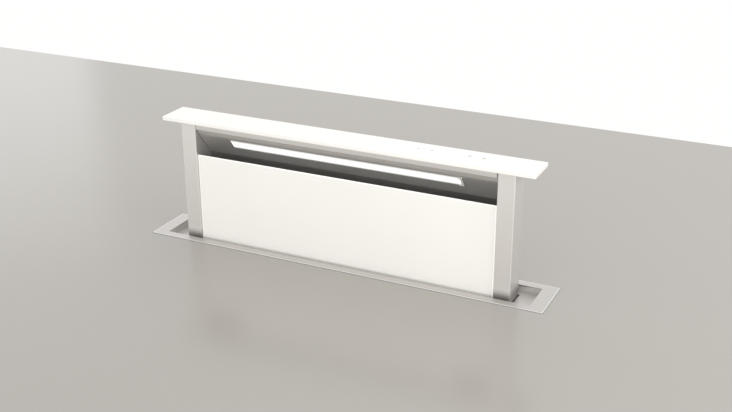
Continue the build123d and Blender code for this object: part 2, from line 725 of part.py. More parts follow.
# ---- racks, pinions and cross shaft ----
def right_rack():
    half = gear_pitch / 4 - GEAR_BACKLASH / 2
    lean = tan(radians(PRESSURE_ANGLE))
    tip_y = rack_line + GEAR_MODULE
    root_y = rack_line - GEAR_ROOT
    tip_half = half - GEAR_MODULE * lean
    root_half = half + GEAR_ROOT * lean
    low = int((rack_bottom - shaft_z) / gear_pitch)
    high = int((rack_top - shaft_z) / gear_pitch)
    outline = [(RACK_BACK_Y, rack_bottom), (root_y, rack_bottom)]
    for i in range(low, high):
        z = shaft_z + (i + 0.5) * gear_pitch
        outline += [(root_y, z - root_half), (tip_y, z - tip_half),
                    (tip_y, z + tip_half), (root_y, z + root_half)]
    outline += [(root_y, rack_top), (RACK_BACK_Y, rack_top)]
    return prism_x(outline, column_outer, column_outer + RACK_WIDTH)


def tooth_half_angle(radius):
    """Half of a pinion tooth's angle at a radius, on an involute flank."""
    base = gear_pitch_radius * cos(radians(PRESSURE_ANGLE))
    here = acos(min(1.0, base / radius))
    at_pitch = radians(PRESSURE_ANGLE)
    half = pi / (2 * PINION_TEETH) - GEAR_BACKLASH / 2 / gear_pitch_radius
    return half + tan(at_pitch) - at_pitch - tan(here) + here


def right_pinion():
    base = gear_pitch_radius * cos(radians(PRESSURE_ANGLE))
    root = gear_pitch_radius - GEAR_ROOT
    rise = (gear_outer_radius - base) / FLANK_STEPS
    flank = [base + rise * i for i in range(FLANK_STEPS + 1)]
    outline = []
    for tooth in range(PINION_TEETH):
        middle = pi + 2 * pi * tooth / PINION_TEETH
        rising = [(r, middle - tooth_half_angle(r)) for r in flank]
        falling = [(r, middle + tooth_half_angle(r)) for r in reversed(flank)]
        turns = [(root, rising[0][1])] + rising + falling + [(root, falling[-1][1])]
        outline += [(SHAFT_Y + r * cos(a), shaft_z + r * sin(a)) for r, a in turns]
    x0 = column_outer + PINION_GAP
    x1 = x0 + PINION_WIDTH
    gear = prism_x(outline, x0, x1)
    hub = rod(PINION_HUB_RADIUS, (x1, SHAFT_Y, shaft_z), (x1 + PINION_HUB_LENGTH, SHAFT_Y, shaft_z))
    bore = rod(SHAFT_RADIUS, (x0 - OVERRUN, SHAFT_Y, shaft_z),
               (x1 + PINION_HUB_LENGTH + OVERRUN, SHAFT_Y, shaft_z))
    return gear + hub - bore


gearbox_x0 = column_outer + PINION_GAP + PINION_WIDTH + PINION_HUB_LENGTH + GEARBOX_GAP
shaft_left_end = -(gearbox_x0 - GEARBOX_GAP)
lift_motor_x = (gearbox_x0 + inner_half) / 2
lift_motor_top = shaft_z - GEARBOX_HEIGHT / 2 - LIFT_MOTOR_NECK
shaft_right_end = inner_half - SHAFT_END_INSET


def cross_shaft():
    shaft = rod(SHAFT_RADIUS, (shaft_left_end, SHAFT_Y, shaft_z), (shaft_right_end, SHAFT_Y, shaft_z))
    return chamfer(shaft.edges().filter_by(GeomType.CIRCLE), SHAFT_CHAMFER)


def bearing_block(x):
    front = SHAFT_Y - SHAFT_RADIUS - BEARING_FRONT_WALL
    saddle = block(x - BEARING_WIDTH / 2, x + BEARING_WIDTH / 2, front, inner_side,
                   shaft_z - BEARING_HEIGHT / 2, shaft_z + BEARING_HEIGHT / 2)
    noses = [e for e in saddle.edges().filter_by(Axis.X) if e.center().Y < SHAFT_Y]
    saddle = fillet(noses, SHAFT_RADIUS)
    return saddle - rod(SHAFT_RADIUS + SHAFT_RUNNING_GAP, (x - BEARING_WIDTH, SHAFT_Y, shaft_z),
                        (x + BEARING_WIDTH, SHAFT_Y, shaft_z))


def gearbox():
    y1 = SHAFT_Y + GEARBOX_BEHIND_SHAFT
    case = block(gearbox_x0, inner_half, y1 - GEARBOX_DEPTH, y1,
                 shaft_z - GEARBOX_HEIGHT / 2, shaft_z + GEARBOX_HEIGHT / 2)
    case = rounded(case, Axis.X, GEARBOX_CORNER)
    neck = rod(LIFT_MOTOR_NECK_RADIUS, (lift_motor_x, LIFT_MOTOR_Y, lift_motor_top),
               (lift_motor_x, LIFT_MOTOR_Y, shaft_z))
    bore = rod(SHAFT_RADIUS + SHAFT_RUNNING_GAP, (gearbox_x0 - OVERRUN, SHAFT_Y, shaft_z),
               (shaft_right_end + OVERRUN, SHAFT_Y, shaft_z))
    return case + neck - bore


def lift_motor():
    x = lift_motor_x
    foot = lift_motor_top - LIFT_MOTOR_LENGTH
    can = rod(LIFT_MOTOR_RADIUS, (x, LIFT_MOTOR_Y, foot), (x, LIFT_MOTOR_Y, lift_motor_top))
    can = fillet(can.edges().group_by(Axis.Z)[0], LIFT_MOTOR_ROUND)
    end = rod(LIFT_MOTOR_END_RADIUS, (x, LIFT_MOTOR_Y, foot - LIFT_MOTOR_END), (x, LIFT_MOTOR_Y, foot))
    return can + end


# ---- rollers and guide rails ----
roller_x0 = column_outer + STUD_COLLAR_LENGTH + ROLLER_SIDE_GAP
lower_roller_z = column_bottom + LOWER_ROLLER_UP


def roller_stud(z):
    end = STUD_COLLAR_LENGTH + 2 * ROLLER_SIDE_GAP + ROLLER_WIDTH
    outline = [(0, 0), (end + STUD_HEAD, 0), (end + STUD_HEAD, STUD_HEAD_RADIUS),
               (end, STUD_HEAD_RADIUS), (end, STUD_RADIUS), (STUD_COLLAR_LENGTH, STUD_RADIUS),
               (STUD_COLLAR_LENGTH, STUD_HEAD_RADIUS), (0, STUD_HEAD_RADIUS)]
    return turned_x(outline, column_outer, GUIDE_Y, z)


def roller(z):
    """A nylon wheel with a dished face each side."""
    bore = STUD_RADIUS + ROLLER_RUNNING_GAP
    hub = bore + ROLLER_HUB_WALL
    tread = ROLLER_RADIUS - ROLLER_TREAD_WALL
    near = [(0, bore), (0, hub), (ROLLER_DISH, hub + ROLLER_DISH_SLOPE),
            (ROLLER_DISH, tread - ROLLER_DISH_SLOPE), (0, tread), (0, ROLLER_RADIUS - ROLLER_EDGE),
            (ROLLER_EDGE, ROLLER_RADIUS)]
    far = [(ROLLER_WIDTH - along, radius) for along, radius in reversed(near)]
    return turned_x(near + far, roller_x0, GUIDE_Y, z)


def right_guide_rail():
    half = ROLLER_RADIUS + GUIDE_CLEARANCE
    top = UPPER_ROLLER_Z + GUIDE_END_ROOM
    bottom = lower_roller_z - LIFT_RISE - GUIDE_END_ROOM
    x0 = column_outer + GUIDE_MOUTH
    outer = block(x0, inner_half, GUIDE_Y - half - GUIDE_SHEET, GUIDE_Y + half + GUIDE_SHEET,
                  bottom, top)
    outer = outer - block(x0, inner_half - GUIDE_SHEET, GUIDE_Y - half, GUIDE_Y + half, bottom, top)
    return outer


# ---- flange and housing ----
def flange_frame():
    rim_half = recess_half + RIM_END
    rim_side = recess_side + RIM_SIDE
    rim = rounded(block(-rim_half, rim_half, -rim_side, rim_side, 0, RIM_SHEET), Axis.Z, RIM_CORNER)
    rim = chamfer(rim.edges().group_by(Axis.Z)[-1], RIM_EDGE)
    pan_half = recess_half + RIM_SHEET
    pan_side = recess_side + RIM_SHEET
    pan = block(-pan_half, pan_half, -pan_side, pan_side, pan_bottom, 0)
    recess = block(-recess_half, recess_half, -recess_side, recess_side, recess_floor, RIM_SHEET)
    slot_half = column_outer + SLOT_GAP
    slot = block(-slot_half, slot_half, column_front - SLOT_GAP, column_back + SLOT_GAP,
                 pan_bottom, recess_floor)
    return rim + pan - recess - rounded(slot, Axis.Z, SLOT_CORNER)


def long_wall(side):
    """A front or back wall with its top return under the recess's floor; side is -1 or 1."""
    wall = block(-housing_half, housing_half, inner_side, housing_side, housing_bottom, pan_bottom)
    wall += block(-inner_half + SHEET, inner_half - SHEET, inner_side - WALL_RETURN, inner_side,
                  pan_bottom - SHEET, pan_bottom)
    return wall if side > 0 else mirror(wall, about=Plane.XZ)


def housing_front_wall():
    inlet = rod(INLET_RADIUS, (0, -housing_side - OVERRUN, fan_z), (0, -inner_side + OVERRUN, fan_z))
    return long_wall(-1) - inlet


def housing_back_wall():
    wall = long_wall(1)
    half = housing_half - BEAD_SETBACK
    for z in BEAD_HEIGHTS:
        outline = [(inner_side, z - BEAD_RADIUS), (inner_side - BEAD_RISE, z - BEAD_RADIUS / 2),
                   (inner_side - BEAD_RISE, z + BEAD_RADIUS / 2), (inner_side, z + BEAD_RADIUS)]
        wall += prism_x(outline, -half, half)
    return wall


def housing_right_wall():
    web = block(inner_half, housing_half, -inner_side, inner_side, housing_bottom, pan_bottom)
    lip = WALL_RETURN + SHEET
    for y0 in (-inner_side, inner_side - SHEET):
        web += block(housing_half - lip, inner_half, y0, y0 + SHEET, housing_bottom + BASE_LIP,
                     pan_bottom - SHEET)
    return web


def housing_base():
    floor = block(-inner_half, inner_half, -inner_side, inner_side, housing_bottom,
                  housing_bottom + SHEET)
    half = inner_half - WALL_RETURN - 2 * SHEET
    for y0 in (-inner_side, inner_side - SHEET):
        floor += block(-half, half, y0, y0 + SHEET, housing_bottom, housing_bottom + BASE_LIP)
    return floor


def floor_bracket():
    """A height-adjustable angle: slotted leg on the housing's end, foot on the cabinet floor."""
    x0 = housing_half
    side = BRACKET_WIDTH / 2
    leg = block(x0, x0 + BRACKET_SHEET, -side, side, floor_z, floor_z + BRACKET_RISE)
    foot = block(x0, x0 + BRACKET_FOOT, -side, side, floor_z, floor_z + BRACKET_SHEET)
    foot = rounded(foot, Axis.Z, BRACKET_CORNER)
    bracket = leg + foot
    slot_top = floor_z + BRACKET_RISE - BRACKET_SLOT_FROM_TOP
    slot_bottom = slot_top - BRACKET_SLOT_LENGTH
    radius = BRACKET_SLOT_WIDTH / 2
    for y in (-BRACKET_SLOT_SPACING / 2, BRACKET_SLOT_SPACING / 2):
        near = x0 - OVERRUN
        past = x0 + BRACKET_SHEET + OVERRUN
        slot = block(near, past, y - radius, y + radius, slot_bottom + radius, slot_top - radius)
        slot += rod(radius, (near, y, slot_bottom + radius), (past, y, slot_bottom + radius))
        slot += rod(radius, (near, y, slot_top - radius), (past, y, slot_top - radius))
        bracket -= slot
    for y in (-FLOOR_BOLT_SPACING / 2, FLOOR_BOLT_SPACING / 2):
        bracket -= rod(FLOOR_BOLT_RADIUS, (x0 + FLOOR_BOLT_OUT, y, floor_z - OVERRUN),
                       (x0 + FLOOR_BOLT_OUT, y, floor_z + BRACKET_SHEET + OVERRUN))
    return bracket


def worktop_clamp():
    """An angle on the housing's end with the screw and pad that press up under the worktop."""
    x0 = housing_half
    side = CLAMP_WIDTH / 2
    arm_z = -CLAMP_ARM_DROP
    leg = block(x0, x0 + CLAMP_SHEET, -side, side, arm_z - CLAMP_HEIGHT, arm_z)
    arm = block(x0, x0 + CLAMP_REACH, -side, side, arm_z - CLAMP_SHEET, arm_z)
    screw_x = x0 + CLAMP_REACH - CLAMP_PAD_RADIUS - CLAMP_ARM_MARGIN
    tail_z = arm_z - CLAMP_SCREW_TAIL
    screw = rod(CLAMP_SCREW_RADIUS, (screw_x, 0, tail_z), (screw_x, 0, -WORKTOP_THICKNESS))
    pad = rod(CLAMP_PAD_RADIUS, (screw_x, 0, -WORKTOP_THICKNESS - CLAMP_PAD),
              (screw_x, 0, -WORKTOP_THICKNESS))
    head = rod(CLAMP_HEAD_RADIUS, (screw_x, 0, tail_z - CLAMP_HEAD), (screw_x, 0, tail_z))
    return leg + arm + screw + pad + head


# ---- blower ----
def polar(radius, angle):
    """A point round the fan's axis as (x, z): angle in degrees from the top, clockwise from the front."""
    return radius * sin(radians(angle)), fan_z + radius * cos(radians(angle))


def impeller():
    back = fan_front + FAN_DEPTH
    plate = rod(FAN_RADIUS, (0, fan_front - FAN_PLATE, fan_z), (0, fan_front, fan_z))
    ring = rod(FAN_RADIUS, (0, back, fan_z), (0, back + FAN_SHROUD, fan_z))
    ring -= rod(FAN_EYE_RADIUS, (0, back - OVERRUN, fan_z), (0, back + FAN_SHROUD + OVERRUN, fan_z))
    hub = rod(FAN_HUB_RADIUS, (0, fan_front, fan_z), (0, fan_front + FAN_HUB_LENGTH, fan_z))
    wheel = plate + ring + hub
    inner = FAN_EYE_RADIUS + BLADE_INSET
    outer = FAN_RADIUS - BLADE_INSET
    skew = degrees(BLADE_THICKNESS / FAN_RADIUS)
    middle = inner + (outer - inner) * BLADE_BEND_SHARE
    y0 = fan_front - FAN_PLATE / 2
    for i in range(FAN_BLADE_COUNT):
        turn = 360 * i / FAN_BLADE_COUNT
        near = [(inner, turn), (middle, turn + BLADE_BEND_ANGLE), (outer, turn + BLADE_SWEEP_ANGLE)]
        lead = [(x, y0, z) for x, z in (polar(r, a) for r, a in near)]
        trail = [(x, y0, z) for x, z in (polar(r, a + skew) for r, a in near)]
        wire = Wire([Edge.make_three_point_arc(*lead), Edge.make_line(lead[2], trail[2]),
                     Edge.make_three_point_arc(*reversed(trail)), Edge.make_line(trail[0], lead[0])])
        wheel += Solid.extrude(Face(wire), Vector(0, back - y0 + FAN_SHROUD / 2, 0))
    return wheel - rod(FAN_SHAFT_RADIUS, (0, fan_front - FAN_PLATE - OVERRUN, fan_z),
                       (0, fan_front + FAN_HUB_LENGTH + OVERRUN, fan_z))


def fan_shaft():
    start = scroll_front - FAN_MOTOR_FLANGE - FAN_SHAFT_INTO_MOTOR
    nose = fan_front + FAN_HUB_LENGTH + FAN_SHAFT_NOSE
    shaft = rod(FAN_SHAFT_RADIUS, (0, start, fan_z), (0, nose, fan_z))
    return chamfer(shaft.edges().group_by(Axis.Y)[-1], SHAFT_CHAMFER)


def scroll_face(y, grow):
    """The scroll as a flat face: an Archimedean spiral and the straight outlet, grown by a wall."""
    tongue = radians(SCROLL_TONGUE_ANGLE)
    start = SCROLL_TONGUE_ANGLE + degrees(grow * (1 + cos(tongue)) / (fan_side * sin(tongue)))
    spiral = []
    for i in range(SCROLL_POINTS + 1):
        angle = start + (360.0 - start) * i / SCROLL_POINTS
        growth = SCROLL_GROWTH * (angle - SCROLL_TONGUE_ANGLE) / scroll_turn
        x, z = polar(fan_side + growth + grow, angle)
        spiral.append((x, y, z))
    curve = Edge.make_spline(spiral)
    corner = (SCROLL_STRAIGHT, y, fan_z + scroll_top + grow)
    foot = (SCROLL_STRAIGHT, y, fan_z + tongue_z - grow)
    lines = [Edge.make_line(spiral[-1], corner), Edge.make_line(corner, foot),
             Edge.make_line(foot, spiral[0])]
    return Face(Wire([curve] + lines))


def outlet_loft(grow):
    """The change from the scroll's square outlet to the round spigot; grow is the wall outside."""
    half_y = (scroll_back - scroll_front) / 2 - SCROLL_WALL + grow
    half_z = (scroll_top - tongue_z) / 2 + grow
    square = Plane(origin=(SCROLL_STRAIGHT - OVERRUN, (scroll_back + scroll_front) / 2, outlet_z),
                   x_dir=(0, 1, 0), z_dir=(1, 0, 0)) * Rectangle(2 * half_y, 2 * half_z)
    disc_x = box_half - SHEET - SPIGOT_STRAIGHT
    disc = Plane(origin=(disc_x, outlet_y, outlet_z), x_dir=(0, 1, 0),
                 z_dir=(1, 0, 0)) * Circle(SPIGOT_RADIUS - SCROLL_WALL + grow)
    spigot = rod(SPIGOT_RADIUS - SCROLL_WALL + grow, (disc_x, outlet_y, outlet_z),
                 (box_half, outlet_y, outlet_z))
    return loft([square.face(), disc.face()]) + spigot


def volute():
    air_depth = scroll_back - scroll_front - 2 * SCROLL_WALL
    air = Solid.extrude(scroll_face(scroll_front + SCROLL_WALL, 0), Vector(0, air_depth, 0))
    depth = Vector(0, scroll_back - scroll_front, 0)
    case = Solid.extrude(scroll_face(scroll_front, SCROLL_WALL), depth)
    motor_hole = rod(FAN_MOTOR_RADIUS, (0, scroll_front - OVERRUN, fan_z),
                     (0, scroll_front + SCROLL_WALL + OVERRUN, fan_z))
    lip = rod(FAN_EYE_RADIUS + SCROLL_WALL, (0, scroll_back, fan_z),
              (0, scroll_back + 2 * SCROLL_WALL, fan_z))
    body = case + outlet_loft(SCROLL_WALL) + lip
    bell = rod(FAN_EYE_RADIUS, (0, scroll_back - SCROLL_WALL - OVERRUN, fan_z),
               (0, scroll_back + 2 * SCROLL_WALL + OVERRUN, fan_z))
    return body - air - outlet_loft(0) - bell - motor_hole


def fan_motor():
    y = scroll_front
    can_end = y - FAN_MOTOR_FLANGE - FAN_MOTOR_LENGTH
    flange = rod(FAN_MOTOR_FLANGE_RADIUS, (0, y - FAN_MOTOR_FLANGE, fan_z), (0, y, fan_z))
    can = rod(FAN_MOTOR_RADIUS, (0, can_end, fan_z), (0, y, fan_z))
    can = fillet(can.edges().group_by(Axis.Y)[0], FAN_MOTOR_ROUND)
    boss = rod(FAN_MOTOR_BOSS_RADIUS, (0, can_end - FAN_MOTOR_BOSS, fan_z), (0, can_end, fan_z))
    bore = rod(FAN_SHAFT_RADIUS + SHAFT_RUNNING_GAP,
               (0, y - FAN_MOTOR_FLANGE - FAN_SHAFT_INTO_MOTOR - FAN_SHAFT_END_GAP, fan_z),
               (0, y + OVERRUN, fan_z))
    return flange + can + boss - bore


def blower_box():
    """The sheet box round the volute, open to the housing and behind its cover."""
    outer = block(-box_half, box_half, box_front, -housing_side, housing_bottom, box_top)
    outer = rounded(outer, Axis.Y, BLOWER_BOX_CORNER)
    inner = block(-box_half + SHEET, box_half - SHEET, box_front + SHEET, -housing_side,
                  housing_bottom + SHEET, box_top - SHEET)
    mouth = block(-box_half + BLOWER_BOX_LIP, box_half - BLOWER_BOX_LIP, box_front,
                  box_front + SHEET, housing_bottom + BLOWER_BOX_LIP, box_top - BLOWER_BOX_LIP)
    outlet = rod(SPIGOT_RADIUS + SPIGOT_HOLE_GAP, (box_half - SHEET - OVERRUN, outlet_y, outlet_z),
                 (box_half + OVERRUN, outlet_y, outlet_z))
    return outer - inner - mouth - outlet


def blower_cover():
    edge = COVER_EDGE / 2
    plate = block(-box_half + edge, box_half - edge, box_front - SHEET, box_front,
                  housing_bottom + edge, box_top - edge)
    plate = rounded(plate, Axis.Y, COVER_CORNER)
    step = COVER_EDGE + BLOWER_BOX_LIP
    raised = block(-box_half + step, box_half - step, box_front - SHEET - COVER_EMBOSS,
                   box_front - SHEET, housing_bottom + step, box_top - step)
    raised = rounded(raised, Axis.Y, COVER_EMBOSS_CORNER)
    raised = chamfer(raised.edges().group_by(Axis.Y)[0], COVER_EMBOSS_SLOPE)
    inset = step + COVER_EMBOSS_WALL
    hollow = block(-box_half + inset, box_half - inset, box_front - COVER_EMBOSS, box_front,
                   housing_bottom + inset, box_top - inset)
    return plate + raised - hollow


# ---- outlet collar and damper ----
def outlet_collar():
    x0 = box_half
    inner = COLLAR_RADIUS - COLLAR_WALL
    flange = rod(COLLAR_FLANGE_RADIUS, (x0, outlet_y, outlet_z),
                 (x0 + COLLAR_FLANGE, outlet_y, outlet_z))
    spigot = rod(COLLAR_RADIUS, (x0, outlet_y, outlet_z), (x0 + COLLAR_LENGTH, outlet_y, outlet_z))
    bore = rod(inner, (x0 - OVERRUN, outlet_y, outlet_z),
               (x0 + COLLAR_LENGTH + OVERRUN, outlet_y, outlet_z))
    stop_end = damper_x - DAMPER_SHEET / 2 - DAMPER_STOP_GAP
    stop = rod(inner + COLLAR_BOND, (x0 + COLLAR_FLANGE, outlet_y, outlet_z),
               (stop_end, outlet_y, outlet_z))
    stop -= rod(inner - DAMPER_STOP, (x0, outlet_y, outlet_z), (stop_end + OVERRUN, outlet_y, outlet_z))
    pin = rod(DAMPER_PIN_RADIUS, (damper_x, outlet_y, outlet_z - inner - COLLAR_BOND),
              (damper_x, outlet_y, outlet_z + inner + COLLAR_BOND))
    return flange + spigot - bore + stop + pin


def damper_flap(side):
    """A half-round flap with two knuckles on the collar's pin; side is -1 (front) or 1 (rear)."""
    x0 = damper_x - DAMPER_SHEET / 2
    x1 = damper_x + DAMPER_SHEET / 2
    disc = rod(damper_radius, (x0, outlet_y, outlet_z), (x1, outlet_y, outlet_z))
    far = outlet_y + side * 2 * damper_radius
    half = block(x0, x1, min(outlet_y, far), max(outlet_y, far), outlet_z - 2 * damper_radius,
                 outlet_z + 2 * damper_radius)
    plate = disc & half
    clear = DAMPER_BARREL_RADIUS + DAMPER_BARREL_GAP
    plate -= rod(clear, (damper_x, outlet_y, outlet_z - 2 * damper_radius),
                 (damper_x, outlet_y, outlet_z + 2 * damper_radius))
    pitch = DAMPER_KNUCKLE + DAMPER_KNUCKLE_GAP
    first = -2 * pitch if side < 0 else -pitch
    flap = plate
    for start in (first, first + 2 * pitch):
        z0 = outlet_z + start + DAMPER_KNUCKLE_GAP / 2
        z1 = z0 + DAMPER_KNUCKLE
        flap += rod(DAMPER_BARREL_RADIUS, (damper_x, outlet_y, z0), (damper_x, outlet_y, z1))
        web_end = outlet_y + side * (clear + OVERRUN)
        flap += block(x0, x1, min(outlet_y, web_end), max(outlet_y, web_end), z0, z1)
    return flap - rod(DAMPER_PIN_RADIUS + DAMPER_RUNNING_GAP,
                      (damper_x, outlet_y, outlet_z - 2 * damper_radius),
                      (damper_x, outlet_y, outlet_z + 2 * damper_radius))


# ---- control box and feet ----
control_x1 = housing_half - CONTROL_FROM_END
control_x0 = control_x1 - CONTROL_LENGTH
control_bottom = CONTROL_TOP_Z - CONTROL_HEIGHT
control_front = -housing_side - CONTROL_DEPTH
gland_x = (control_x0 + control_x1) / 2
gland_y = -housing_side - CONTROL_DEPTH / 2


def control_box():
    outer = block(control_x0, control_x1, control_front, -housing_side, control_bottom, CONTROL_TOP_Z)
    outer = rounded(outer, Axis.Y, CONTROL_CORNER)
    inner = block(control_x0 + CONTROL_WALL, control_x1 - CONTROL_WALL, control_front,
                  -housing_side - CONTROL_WALL, control_bottom + CONTROL_WALL,
                  CONTROL_TOP_Z - CONTROL_WALL)
    inner = rounded(inner, Axis.Y, CONTROL_CORNER - CONTROL_WALL)
    entry = rod(GLAND_THREAD_RADIUS + GLAND_THREAD_GAP, (gland_x, gland_y, control_bottom - OVERRUN),
                (gland_x, gland_y, control_bottom + CONTROL_WALL + OVERRUN))
    return outer - inner - entry


def control_lid():
    lid = block(control_x0, control_x1, control_front - CONTROL_LID, control_front, control_bottom,
                CONTROL_TOP_Z)
    lid = rounded(lid, Axis.Y, CONTROL_CORNER)
    lid = fillet(lid.edges().group_by(Axis.Y)[0], CONTROL_WALL)
    wall = CONTROL_WALL
    hollow = block(control_x0 + wall, control_x1 - wall, control_front - CONTROL_LID + wall,
                   control_front, control_bottom + wall, CONTROL_TOP_Z - wall)
    return lid - rounded(hollow, Axis.Y, CONTROL_CORNER - wall)


def cable_gland():
    nut_z = control_bottom - GLAND_NUT
    end_z = control_bottom - GLAND_LENGTH
    top_z = control_bottom + CONTROL_WALL + GLAND_THREAD_INSIDE
    nut = Pos(gland_x, gland_y, nut_z) * extrude(RegularPolygon(GLAND_RADIUS, 6), GLAND_NUT)
    dome = rod(GLAND_DOME_RADIUS, (gland_x, gland_y, end_z), (gland_x, gland_y, nut_z))
    dome = fillet(dome.edges().group_by(Axis.Z)[0], GLAND_DOME_ROUND)
    stem = rod(GLAND_THREAD_RADIUS, (gland_x, gland_y, control_bottom), (gland_x, gland_y, top_z))
    bore = rod(GLAND_BORE, (gland_x, gland_y, end_z - OVERRUN), (gland_x, gland_y, top_z + OVERRUN))
    return nut + dome + stem - bore


def levelling_foot(x):
    y = box_front + FOOT_INSET_Y
    stud = rod(FOOT_STUD_RADIUS, (x, y, floor_z + FOOT_PAD), (x, y, housing_bottom))
    pad = Cone(FOOT_PAD_RADIUS, FOOT_PAD_TOP_RADIUS, FOOT_PAD,
               align=(Align.CENTER, Align.CENTER, Align.MIN))
    nut = Pos(x, y, housing_bottom - FOOT_NUT) * extrude(RegularPolygon(FOOT_NUT_RADIUS, 6), FOOT_NUT)
    return stud + Pos(x, y, floor_z) * pad + nut


# ---- write every sub-part ----
def main():
    os.makedirs("parts", exist_ok=True)
    write("cap_glass", cap_glass())
    write("cap_tray", cap_tray())
    write("touch_board", touch_board())
    write("cap_bumpers", *cap_bumpers())
    write("top_rail", top_rail())
    write("sloped_panel", sloped_panel())
    write("led_lens", led_lens())
    write("light_end_cap", light_end_cap())
    write("led_board", led_board())
    write("light_end_plates", light_end_plate(), mirrored(light_end_plate()))
    write("back_panel", back_panel())
    write("filter_trough", filter_trough())
    write("lower_crossmember", lower_crossmember())
    write("front_glass", front_glass())
    hooks = [glass_hook(z) for z in HOOK_HEIGHTS]
    write("glass_hooks", *hooks, *[mirrored(h) for h in hooks])
    studs = [hook_stud(z) for z in HOOK_HEIGHTS]
    write("hook_studs", *studs, *[mirrored(s) for s in studs])
    roller_studs = [roller_stud(z) for z in (UPPER_ROLLER_Z, lower_roller_z)]
    write("roller_studs", *roller_studs, *[mirrored(s) for s in roller_studs])
    pairs = {
        "column": right_column(),
        "filter_frame": right_filter_frame(),
        "filter_mesh": right_filter_mesh(),
        "filter_latch": right_filter_latch(),
        "rack": right_rack(),
        "pinion": right_pinion(),
        "upper_roller": roller(UPPER_ROLLER_Z),
        "lower_roller": roller(lower_roller_z),
        "guide_rail": right_guide_rail(),
    }
    for name, piece in pairs.items():
        write(f"right_{name}", piece)
        write(f"left_{name}", mirrored(piece))
    write("cross_shaft", cross_shaft())
    bearing_x = column_outer - BEARING_IN_FROM_COLUMN - BEARING_WIDTH / 2
    write("bearing_blocks", *[bearing_block(x) for x in (-bearing_x, 0, bearing_x)])
    write("gearbox", gearbox())
    write("lift_motor", lift_motor())
    write("flange_frame", flange_frame())
    write("housing_front_wall", housing_front_wall())
    write("housing_back_wall", housing_back_wall())
    write("housing_right_wall", housing_right_wall())
    write("housing_left_wall", mirrored(housing_right_wall()))
    write("housing_base", housing_base())
    write("floor_brackets", floor_bracket(), mirrored(floor_bracket()))
    write("worktop_clamps", worktop_clamp(), mirrored(worktop_clamp()))
    write("impeller", impeller())
    write("fan_shaft", fan_shaft())
    write("volute", volute())
    write("fan_motor", fan_motor())
    write("blower_box", blower_box())
    write("blower_cover", blower_cover())
    write("outlet_collar", outlet_collar())
    write("front_damper_flap", damper_flap(-1))
    write("rear_damper_flap", damper_flap(1))
    write("control_box", control_box())
    write("control_lid", control_lid())
    write("cable_gland", cable_gland())
    foot_x = box_half - FOOT_INSET_X
    write("levelling_feet", levelling_foot(-foot_x), levelling_foot(foot_x))


main()
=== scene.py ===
import json
from math import cos, pi, radians, sin

import bmesh
import bpy
from mathutils import Matrix, Vector

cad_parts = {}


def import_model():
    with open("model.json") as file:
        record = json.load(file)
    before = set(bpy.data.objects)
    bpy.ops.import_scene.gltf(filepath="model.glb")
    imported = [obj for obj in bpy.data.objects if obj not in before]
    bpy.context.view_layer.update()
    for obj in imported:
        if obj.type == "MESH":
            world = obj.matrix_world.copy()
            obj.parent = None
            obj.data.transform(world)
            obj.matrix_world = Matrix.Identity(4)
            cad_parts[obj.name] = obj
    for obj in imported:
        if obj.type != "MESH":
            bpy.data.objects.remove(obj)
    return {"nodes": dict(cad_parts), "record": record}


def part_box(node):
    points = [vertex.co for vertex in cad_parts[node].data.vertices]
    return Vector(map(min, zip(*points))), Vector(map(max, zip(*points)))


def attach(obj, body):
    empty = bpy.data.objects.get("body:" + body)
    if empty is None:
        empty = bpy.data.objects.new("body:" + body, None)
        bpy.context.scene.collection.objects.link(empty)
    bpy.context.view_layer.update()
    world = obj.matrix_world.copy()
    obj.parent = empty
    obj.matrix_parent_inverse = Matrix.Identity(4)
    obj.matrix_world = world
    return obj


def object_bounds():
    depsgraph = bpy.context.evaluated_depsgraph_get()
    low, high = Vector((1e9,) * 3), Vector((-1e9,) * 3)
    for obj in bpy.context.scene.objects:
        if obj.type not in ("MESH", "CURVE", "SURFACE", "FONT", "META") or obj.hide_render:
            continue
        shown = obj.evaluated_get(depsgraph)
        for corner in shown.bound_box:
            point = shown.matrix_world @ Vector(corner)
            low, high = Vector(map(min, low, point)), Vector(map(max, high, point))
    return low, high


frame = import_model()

# Looks for a raised downdraft vent in a pale worktop. Metres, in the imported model's own frame:
# Z=0 is the worktop's surface, X runs along the vent and -Y is the cook's side.

cad_low, cad_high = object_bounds()

# ---- camera, solved from the photograph's straight edges ----
CAMERA_PLACE = (0.9707, -1.9035, 0.9989)
CAMERA_PAN = 0.45077
CAMERA_DOWN = 0.38998
CAMERA_ROLL = -0.0033
SENSOR_WIDTH = 36.0
FOCAL_LENGTH = 54.91
CLIP_END = 50.0

# ---- stage ----
WORKTOP_LEFT = -2.05
WORKTOP_RIGHT = 0.88
WORKTOP_FRONT = -0.80
WORKTOP_BACK = 1.081
WORKTOP_THICKNESS = 0.030
CUTOUT_LENGTH = 0.862
CUTOUT_WIDTH = 0.102
FLOOR_HALF = 2.9

# ---- light ----
WORLD_LIGHT = 0.905
WORLD_COLOR = (1.0, 0.995, 0.985, 1)
SEEN_WHITE = (1, 1, 0.995, 1)
LENS_GLOW = 1.0
LENS_LIGHT = (1.0, 0.995, 0.975)
LENS_EDGE_GLOW = 0.22
# the front pane's edges glow as a painted highlight
GLASS_EDGE_PAINTED_GLOW = 0.30
# name, place, point it is aimed at, size, power, and whether metal and glass mirror it
LAMPS = (
    ("key", (-0.1, 2.1, 2.5), (0, 0, 0), (2.6, 2.6), 15.0, False),
    ("far", (-4.6, 3.2, 1.3), (-1.9, 0.6, 0), (2.0, 1.6), 5.5, True),
    ("front", (0.6, -3.2, 0.55), (0, 0, 0.12), (3.2, 0.8), 33.0, False),
    ("right", (2.8, -0.4, 1.2), (0.2, 0, 0.1), (1.6, 1.2), 28.0, False),
)

